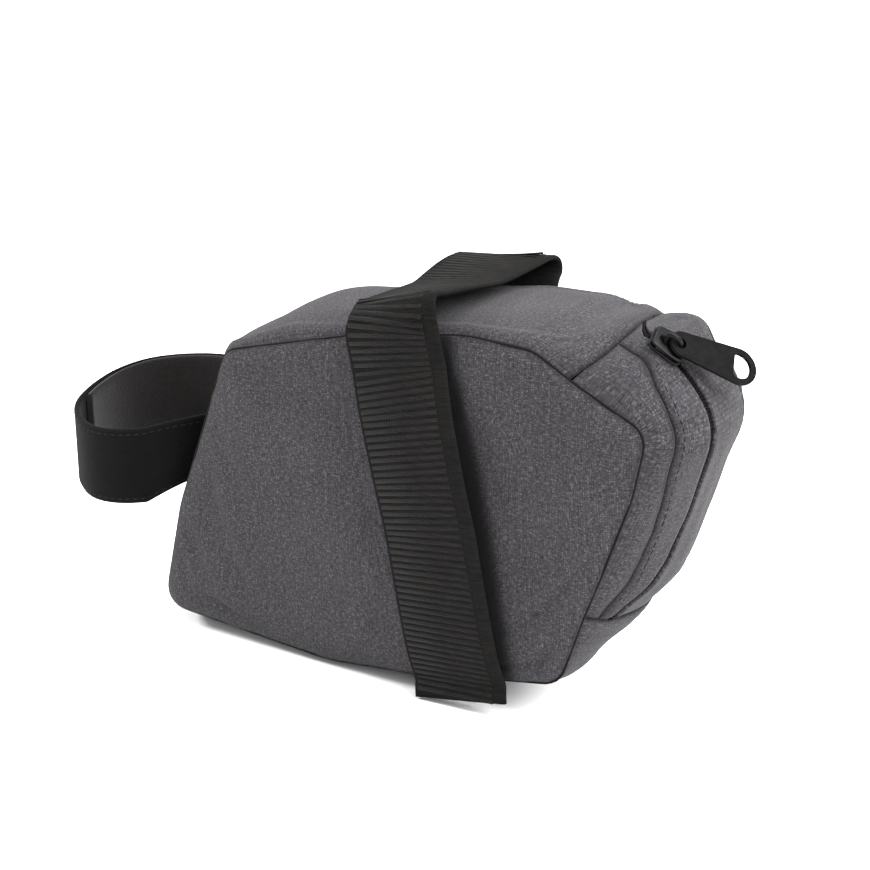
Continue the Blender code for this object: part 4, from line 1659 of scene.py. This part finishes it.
@dataclass
class PostLoop:
    """The seat-post loop: two ends of one hook-and-loop band that overlap down the far side."""

    carcass: Carcass
    palette: Palette
    rows: RowTree
    length: float = 0.0590
    width: float = 0.070
    band: float = 0.0305
    thickness: float = 0.0022
    layer_gap: float = 0.0006
    height: float = 0.0722
    tilt: float = math.radians(9.5)
    root: float = 0.01475
    lift: float = 0.0012
    overlap: tuple[float, float] = (0.44, 0.84)
    # Points of the path over which a layer leaves the other, and the gap between the ends at the front
    ease_steps: int = 15
    root_gap: float = 0.0006
    stitch_inset: float = 0.0022
    stitch_pitch: float = 0.0030
    stitch_size: tuple[float, float, float] = (0.0022, 0.00045, 0.00032)
    path: tuple[tuple[float, float], ...] = (
        # out, across
        (0.000, -0.10), (0.010, -0.45), (0.085, -0.70), (0.240, -0.93), (0.420, -1.08), (0.600, -1.10),
        (0.770, -0.97), (0.900, -0.73), (0.975, -0.36), (0.990, 0.05), (0.930, 0.38), (0.800, 0.62),
        (0.600, 0.80), (0.400, 0.88), (0.210, 0.86), (0.080, 0.72), (0.010, 0.45), (0.000, 0.10),
    )

    def _route(self) -> tuple[Row, Row]:
        """Lead the loop out of the front panel and round the seat post.

        Returns:
            The loop's centres and the directions across the band.
        """
        carcass, outline = self.carcass, self.carcass.outline
        distance, step = outline.stations["front_bottom"], carcass.wall
        while carcass.band_point(distance, 0.0).z < self.height:
            distance += step
        point = carcass.band_point(distance, 0.0)
        low, high = (carcass.band_point(distance + reach, 0.0) for reach in (-self.band / 2, self.band / 2))
        slope = (high - low).normalized()
        base = point.x - self.thickness / 2 - self.lift
        plan = [Vector((base - out * self.length, across * self.width / 2, 0.0)) for out, across in self.path]
        centres, widths = [], []
        for place in smooth_path(plan, 9):
            away = min(1.0, max(0.0, (base - place.x) / self.root))
            centres.append(Vector((place.x, place.y, point.z + place.y * math.tan(self.tilt) * away)))
            widths.append(slope.lerp(Vector((0.0, 0.0, 1.0)), away).normalized())
        return centres, widths

    def build(self) -> list[bpy.types.Object]:
        """Make both layers, the loop pile inside, and the edge stitches.

        Returns:
            The two bands and their stitches.
        """
        centres, widths = self._route()
        start, meet = (round(len(centres) * share) for share in self.overlap)
        offset = (self.thickness + self.layer_gap) / 2
        inner, outer = [], []
        for index, centre in enumerate(centres):
            before, after = either_side(centres, index)
            outward = widths[index].cross(after - before).normalized()
            ease = eased(min(1.0, max(0.0, 1 - max(start - index, index - meet) / self.ease_steps)))
            inner.append(centre - outward * offset * ease)
            outer.append(centre + outward * offset * ease)
        near, far = outer[:meet], inner[start:]
        near[0].y, far[-1].y = -self.root_gap / 2, self.root_gap / 2
        made = []
        for name, path, across, material in (("post_strap_hook", near, widths[:meet], self.palette.hook),
                                             ("post_strap_loop", far, widths[start:], self.palette.pile)):
            mesh = strip_mesh(name, path, across, self.band, self.thickness, 10)
            strap = mesh_object(f"{name}_band", mesh, material)
            settle_on_frame(strap, "bag", Finish.HOOK, name)
            made += [strap, *self._edge_rows(name, path, across)]
        return made

    def _edge_rows(self, name: str, path: Row, across: Row) -> list[bpy.types.Object]:
        """Sew the overlocked rows along both edges of a layer.

        Args:
            name: The layer's name.
            path: Its middle line.
            across: The direction across it at each point.

        Returns:
            The two rows.
        """
        made = []
        for label, sign in (("low", -1.0), ("high", 1.0)):
            points, facings = [], []
            for index, centre in enumerate(path):
                before, after = either_side(path, index)
                out = across[index].cross(after - before).normalized()
                beside = across[index] * sign * (self.band / 2 - self.stitch_inset)
                points.append(centre + beside + out * (self.thickness / 2))
                facings.append(out)
            row = self.rows.lay(f"{name}_stitch_{label}", points, facings, self.stitch_pitch,
                                self.stitch_size, self.palette.thread, vary=0.08)
            made.append(settle_on_frame(row, "bag", Finish.HOOK))
        return made


@dataclass
class Zipper:
    """The painted slider with its wire bridge, and the moulded pull that swings on it."""

    carcass: Carcass
    palette: Palette
    zip_leg: Sequence[tuple[float, float]]
    place: float = 0.155
    turn: float = math.radians(11.0)
    body: tuple[float, float, float] = (0.0122, 0.0099, 0.0028)
    plates: tuple[tuple[float, float, float, float, float, float], ...] = (
        # shares of the body's length, its width at the mouth and the waist, its low and high faces; bevel
        (1.0, 1.0, 0.5, 0.0, 0.34, 0.0003),
        (0.94, 0.92, 0.46, 0.62, 1.0, 0.0004),
        (0.5, 0.5, 0.2, 0.0, 1.0, 0.0001),
    )
    flank: float = 0.0008
    wire: float = 0.0016
    span: float = 0.0066
    rise: float = 0.0048
    pin_height: float = 0.0015
    pull_turn: float = math.radians(16.0)
    pull_drop: float = math.radians(2.5)
    pull_thick: float = 0.0016
    pull_length: float = 0.0312
    pull_width: float = 0.0126
    neck: float = 0.0084
    slot: float = 0.0040
    hole: float = 0.0090
    gap: float = 0.0003
    probe: float = 0.02
    wing: tuple[tuple[float, float], ...] = (
        # share of the plate's length, share of its width
        (0.5, 0.62), (0.42, 0.94), (0.22, 1.0), (0.0, 0.92), (-0.25, 0.80), (-0.42, 0.66), (-0.5, 0.40))

    def frame(self) -> Matrix:
        """Return the slider's place and axes, as the part works them out.

        Returns:
            The slider's frame: forwards down the zip, sideways, and off the cloth.
        """
        carcass, mark = self.carcass, self.carcass.outline.stations
        lid, zip_end = mark["lid_seam"], mark["zip_end"]

        def on_leg(share: float) -> Vector:
            """Return a point on the near leg."""
            return carcass.band_point(lid + (zip_end - lid) * share, -interpolate(self.zip_leg, share))

        forward = (on_leg(self.place + self.probe) - on_leg(self.place - self.probe)).normalized()
        distance = lid + (zip_end - lid) * self.place
        across = -interpolate(self.zip_leg, self.place)
        low, high = (carcass.band_point(distance, across + step) for step in (-self.probe, self.probe))
        normal = forward.cross(high - low).normalized()
        forward = Matrix.Rotation(self.turn, 3, normal) @ forward
        frame = Matrix((forward, normal.cross(forward), normal)).transposed().to_4x4()
        frame.translation = on_leg(self.place) + normal * self.gap
        return frame

    @staticmethod
    def _plate(points: Sequence[tuple[float, float]], low: float, high: float,
               bevel: float) -> bmesh.types.BMesh:
        """Cast a flat plate with eased edges.

        Args:
            points: Its outline.
            low: Its lower face's height.
            high: Its upper face's height.
            bevel: How far its edges are eased.

        Returns:
            The plate.
        """
        work = bmesh.new()
        floor = [work.verts.new((x, y, low)) for x, y in points]
        roof = [work.verts.new((x, y, high)) for x, y in points]
        work.faces.new(floor[::-1])
        work.faces.new(roof)
        for index in range(len(points)):
            after = (index + 1) % len(points)
            work.faces.new((floor[index], floor[after], roof[after], roof[index]))
        bmesh.ops.recalc_face_normals(work, faces=work.faces)
        rims = [edge for edge in work.edges if abs(edge.verts[0].co.z - edge.verts[1].co.z) < 1e-7]
        bmesh.ops.bevel(work, geom=rims, offset=bevel, segments=3, affect="EDGES", profile=0.6)
        return work

    def _join(self, name: str, parts: Sequence[bmesh.types.BMesh], material: bpy.types.Material,
              place: Matrix) -> bpy.types.Object:
        """Join several castings into one piece.

        Args:
            name: The piece's name.
            parts: The castings, which are used up.
            material: What it is made of.
            place: Where it stands.

        Returns:
            The piece.
        """
        mesh = bpy.data.meshes.new(name)
        whole = bmesh.new()
        for part in parts:
            shape = bpy.data.meshes.new("casting")
            part.to_mesh(shape)
            part.free()
            whole.from_mesh(shape)
            bpy.data.meshes.remove(shape)
        whole.transform(place)
        bmesh.ops.recalc_face_normals(whole, faces=whole.faces)
        whole.to_mesh(mesh)
        whole.free()
        mesh.shade_smooth()
        item = mesh_object(name, mesh, material)
        mesh.set_sharp_from_angle(angle=math.radians(42))
        return item

    def _wing(self, length: float, wide: float, narrow: float) -> list[tuple[float, float]]:
        """Draw a slider plate: broad at its mouth, waisted, round at its nose.

        Args:
            length: The plate's length.
            wide: Its width at the mouth.
            narrow: The width that its shares are counted from.

        Returns:
            Its outline.
        """
        half = [(along * length, (narrow + (wide - narrow) * share) / 2) for along, share in self.wing]
        return half + [(x, -y) for x, y in reversed(half)]

    def build(self) -> list[bpy.types.Object]:
        """Make the slider and the pull.

        Returns:
            The slider and the pull.
        """
        frame = self.frame()
        length, width, thick = self.body
        castings = [self._plate(self._wing(length * long, width * wide, width * narrow),
                                thick * low, thick * high, bevel)
                    for long, wide, narrow, low, high, bevel in self.plates]
        flanks = []
        for side in (-1, 1):
            back, front, y = -length * 0.30, length * 0.24, side * width * 0.36
            beyond = y + side * self.flank
            flanks.append(self._plate([(back, y), (front, y), (front, beyond), (back, beyond)],
                                      thick * 0.2, thick * 0.8, 0.0002))
        slider = self._join("zip_slider_casting", [*castings, *flanks, self._bridge()],
                            self.palette.zinc, frame)
        settle_on_frame(slider, "bag", Finish.ZINC, "zip_slider")
        pin = frame @ Matrix.Translation((0.0, 0.0, thick + self.pin_height))
        pin = pin @ Matrix.Rotation(self.pull_turn, 4, "Z") @ Matrix.Rotation(self.pull_drop, 4, "Y")
        return [slider, self._pull(pin)]

    def _bridge(self) -> bmesh.types.BMesh:
        """Bend the wire bridge over the slider as a tube.

        Returns:
            The bridge.
        """
        thick = self.body[2]
        high = self.rise - self.wire / 2
        arc = [Vector((math.cos(angle) * self.span / 2, 0.0, thick + math.sin(angle) * high))
               for angle in spread(0.0, math.pi, 18)]
        foot = Vector((0.0, 0.0, thick / 2))
        return tube([arc[0] - foot, *arc, arc[-1] - foot], self.wire / 2, 10, False)

    def _slot(self, start: float, end: float, start_width: float, end_width: float,
              steps: int = 12) -> list[tuple[float, float]]:
        """Draw a closed outline with a round end at both ends.

        Args:
            start: Where it begins.
            end: Where it ends.
            start_width: Its width at its start.
            end_width: Its width at its end.
            steps: How many steps each end has.

        Returns:
            The outline.
        """
        low, high = start_width / 2, end_width / 2
        points = [(start + low * (1 + math.cos(angle)), low * math.sin(angle))
                  for angle in spread(math.pi / 2, 3 * math.pi / 2, steps)]
        return points + [(end - high * (1 - math.cos(angle)), high * math.sin(angle))
                         for angle in spread(-math.pi / 2, math.pi / 2, steps)]

    def _dee(self, end: float, width: float, ease: float = 0.0014,
             steps: int = 6) -> list[tuple[float, float]]:
        """Draw the pull's hole: straight towards the slider, round at the pull's end.

        Args:
            end: Where it ends.
            width: Its width.
            ease: The bend of its two corners.
            steps: How many steps each corner has.

        Returns:
            The outline.
        """
        radius = width / 2
        start = end - radius - 1.6 * ease
        points = []
        for sign, first in ((1.0, math.pi / 2), (-1.0, math.pi)):
            points += [(start + ease * (1 + math.cos(angle)), sign * (radius - ease) + ease * math.sin(angle))
                       for angle in spread(first, first + math.pi / 2, steps)]
        return points + [(end - radius * (1 - math.cos(angle)), radius * math.sin(angle))
                         for angle in spread(-math.pi / 2, math.pi / 2, 2 * steps)]

    def _pull(self, place: Matrix) -> bpy.types.Object:
        """Mould the pull: a thin web with raised rims, a slot for the bridge and an open loop at its end.

        Args:
            place: The place and axes of the pin that it swings on.

        Returns:
            The pull.
        """
        radius = self.pull_thick / 2
        outer = self._slot(-radius, self.pull_length, self.neck, self.pull_width)
        slot_end = self.span / 2 + self.wire / 2 + self.pin_height / 2
        slot = self._slot(radius, slot_end, self.slot, self.slot)
        hole = self._dee(self.pull_length - (self.pull_width - self.hole) / 2, self.hole)
        outlines = [[(x, y, 0.0) for x, y in points] for points in (outer, slot[::-1], hole[::-1])]
        curve = closed_curve("pull_web", "2D", outlines, 0.0002)
        curve.fill_mode = "BOTH"
        curve.extrude = self.pull_thick * 0.30
        web = bmesh.new()
        web.from_mesh(curve_mesh(curve))
        bmesh.ops.remove_doubles(web, verts=web.verts, dist=0.00001)
        rims = []
        for points, depth, thick in ((outer, radius * 0.9, radius), (hole, -radius * 0.8, radius * 0.9)):
            rims.append(tube([Vector((x, y, 0.0)) for x, y in self._shrink(points, depth)], thick, 8, True))
        pull = self._join("zip_pull_moulding", [web, *rims], self.palette.rubber, place)
        return settle_on_frame(pull, "pull", Finish.RUBBER, "zip_pull")

    @staticmethod
    def _shrink(points: Sequence[tuple[float, float]], depth: float) -> list[tuple[float, float]]:
        """Move an outline inwards.

        Args:
            points: The outline.
            depth: How far it moves in, or out where it is negative.

        Returns:
            The moved outline.
        """
        moved = []
        for (x, y), (x0, y0), (x1, y1) in zip(points, points[-1:] + points[:-1], points[1:] + points[:1]):
            run = math.hypot(x1 - x0, y1 - y0) or 1.0
            moved.append((x - (y1 - y0) / run * depth, y + (x1 - x0) / run * depth))
        return moved


def tube(path: Row, radius: float, sides: int, closed: bool) -> bmesh.types.BMesh:
    """Sweep a round section along a path.

    Args:
        path: The middle line.
        radius: The section's radius.
        sides: How many faces go round it.
        closed: True where the path's end meets its start.

    Returns:
        The tube, with closed ends where the path is open.
    """
    work = bmesh.new()
    rings, count = [], len(path)
    across = Vector((0.0, 0.0, 1.0)) if closed else Vector((0.0, 1.0, 0.0))
    for index, point in enumerate(path):
        before, after = (path[index - 1], path[(index + 1) % count]) if closed else either_side(path, index)
        other = (after - before).normalized().cross(across).normalized()
        rings.append([work.verts.new(point + (across * math.cos(angle) + other * math.sin(angle)) * radius)
                      for angle in (2 * math.pi * step / sides for step in range(sides))])
    for index in range(count if closed else count - 1):
        ring, following = rings[index], rings[(index + 1) % count]
        for side in range(sides):
            after = (side + 1) % sides
            work.faces.new((ring[side], ring[after], following[after], following[side]))
    if not closed:
        work.faces.new(rings[0][::-1])
        work.faces.new(rings[-1])
    bmesh.ops.recalc_face_normals(work, faces=work.faces)
    return work


@dataclass
class Studio:
    """The pale floor, the soft lights, and a camera at the photograph's angle."""

    azimuth: float = math.radians(31.0)
    elevation: float = math.radians(19.5)
    distance: float = 0.64
    aim: tuple[float, float, float] = (0.0, 0.0, 0.089)
    # The view's focal length in pixels of an image 870 pixels wide
    focal: float = 1760.0
    frame: float = 870.0
    sensor: float = 36.0
    # Half the floor's width
    floor: float = 4.0
    sky: float = 1.12
    lamps: tuple[tuple[str, tuple[float, float, float], float, float], ...] = (
        # name, place, size, watts
        ("key", (-0.95, -0.42, 0.80), 0.30, 15.5),
        ("fill", (0.95, -0.20, 0.85), 0.7, 36.0),
        ("top", (0.30, 0.15, 1.30), 0.8, 28.0),
    )

    def build(self) -> None:
        """Set the floor, the world, the lights and the camera."""
        mesh = bpy.data.meshes.new("floor")
        corners = (-1, -1), (1, -1), (1, 1), (-1, 1)
        mesh.from_pydata([(x * self.floor, y * self.floor, 0.0) for x, y in corners], [], [(0, 1, 2, 3)])
        material, _, shader = principled("pale_floor")
        shader.inputs["Base Color"].default_value = linear("#f4f4f4")
        shader.inputs["Roughness"].default_value = 0.9
        mesh_object("floor", mesh, material)
        bpy.context.scene.view_settings.view_transform = "Standard"
        world = bpy.data.worlds.new("studio")
        world.use_nodes = True
        background = world.node_tree.nodes["Background"]
        background.inputs["Color"].default_value = linear("#ffffff")
        background.inputs["Strength"].default_value = self.sky
        bpy.context.scene.world = world
        for name, place, size, power in self.lamps:
            light = bpy.data.lights.new(name, "AREA")
            light.energy = power
            light.size = size
            lamp = bpy.data.objects.new(name, light)
            lamp.location = place
            lamp.rotation_euler = (Vector(place) - Vector(self.aim)).to_track_quat("Z", "Y").to_euler()
            bpy.context.scene.collection.objects.link(lamp)
        camera = bpy.data.cameras.new("camera")
        camera.sensor_width = self.sensor
        camera.lens = self.focal / self.frame * self.sensor
        camera.clip_start = 0.01
        holder = bpy.data.objects.new("camera", camera)
        level, rise = math.cos(self.elevation), math.sin(self.elevation)
        back = Vector((math.sin(self.azimuth) * level, -math.cos(self.azimuth) * level, rise))
        holder.location = Vector(self.aim) + back * self.distance
        holder.rotation_euler = back.to_track_quat("Z", "Y").to_euler()
        bpy.context.scene.collection.objects.link(holder)
        bpy.context.scene.camera = holder


def main() -> None:
    """Dress the frame: studio, cloth body, straps and zip."""
    logging.basicConfig(level=logging.INFO, format="%(message)s")
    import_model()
    Studio().build()
    palette = Palette()
    stitches, bars = RowTree(Shape.STITCH), RowTree(Shape.BAR)
    carcass = Carcass()
    strap = SaddleStrap(carcass, palette, bars)
    shell = Shell(carcass, palette, stitches, strap.rear_edge())
    made = shell.build()
    made += strap.build()
    made += PostLoop(carcass, palette, stitches).build()
    made += Zipper(carcass, palette, shell.zip_leg).build()
    for piece in made:
        LOG.info("%s: %d faces", piece.name, len(piece.data.polygons))


if __name__ == "__main__":
    main()
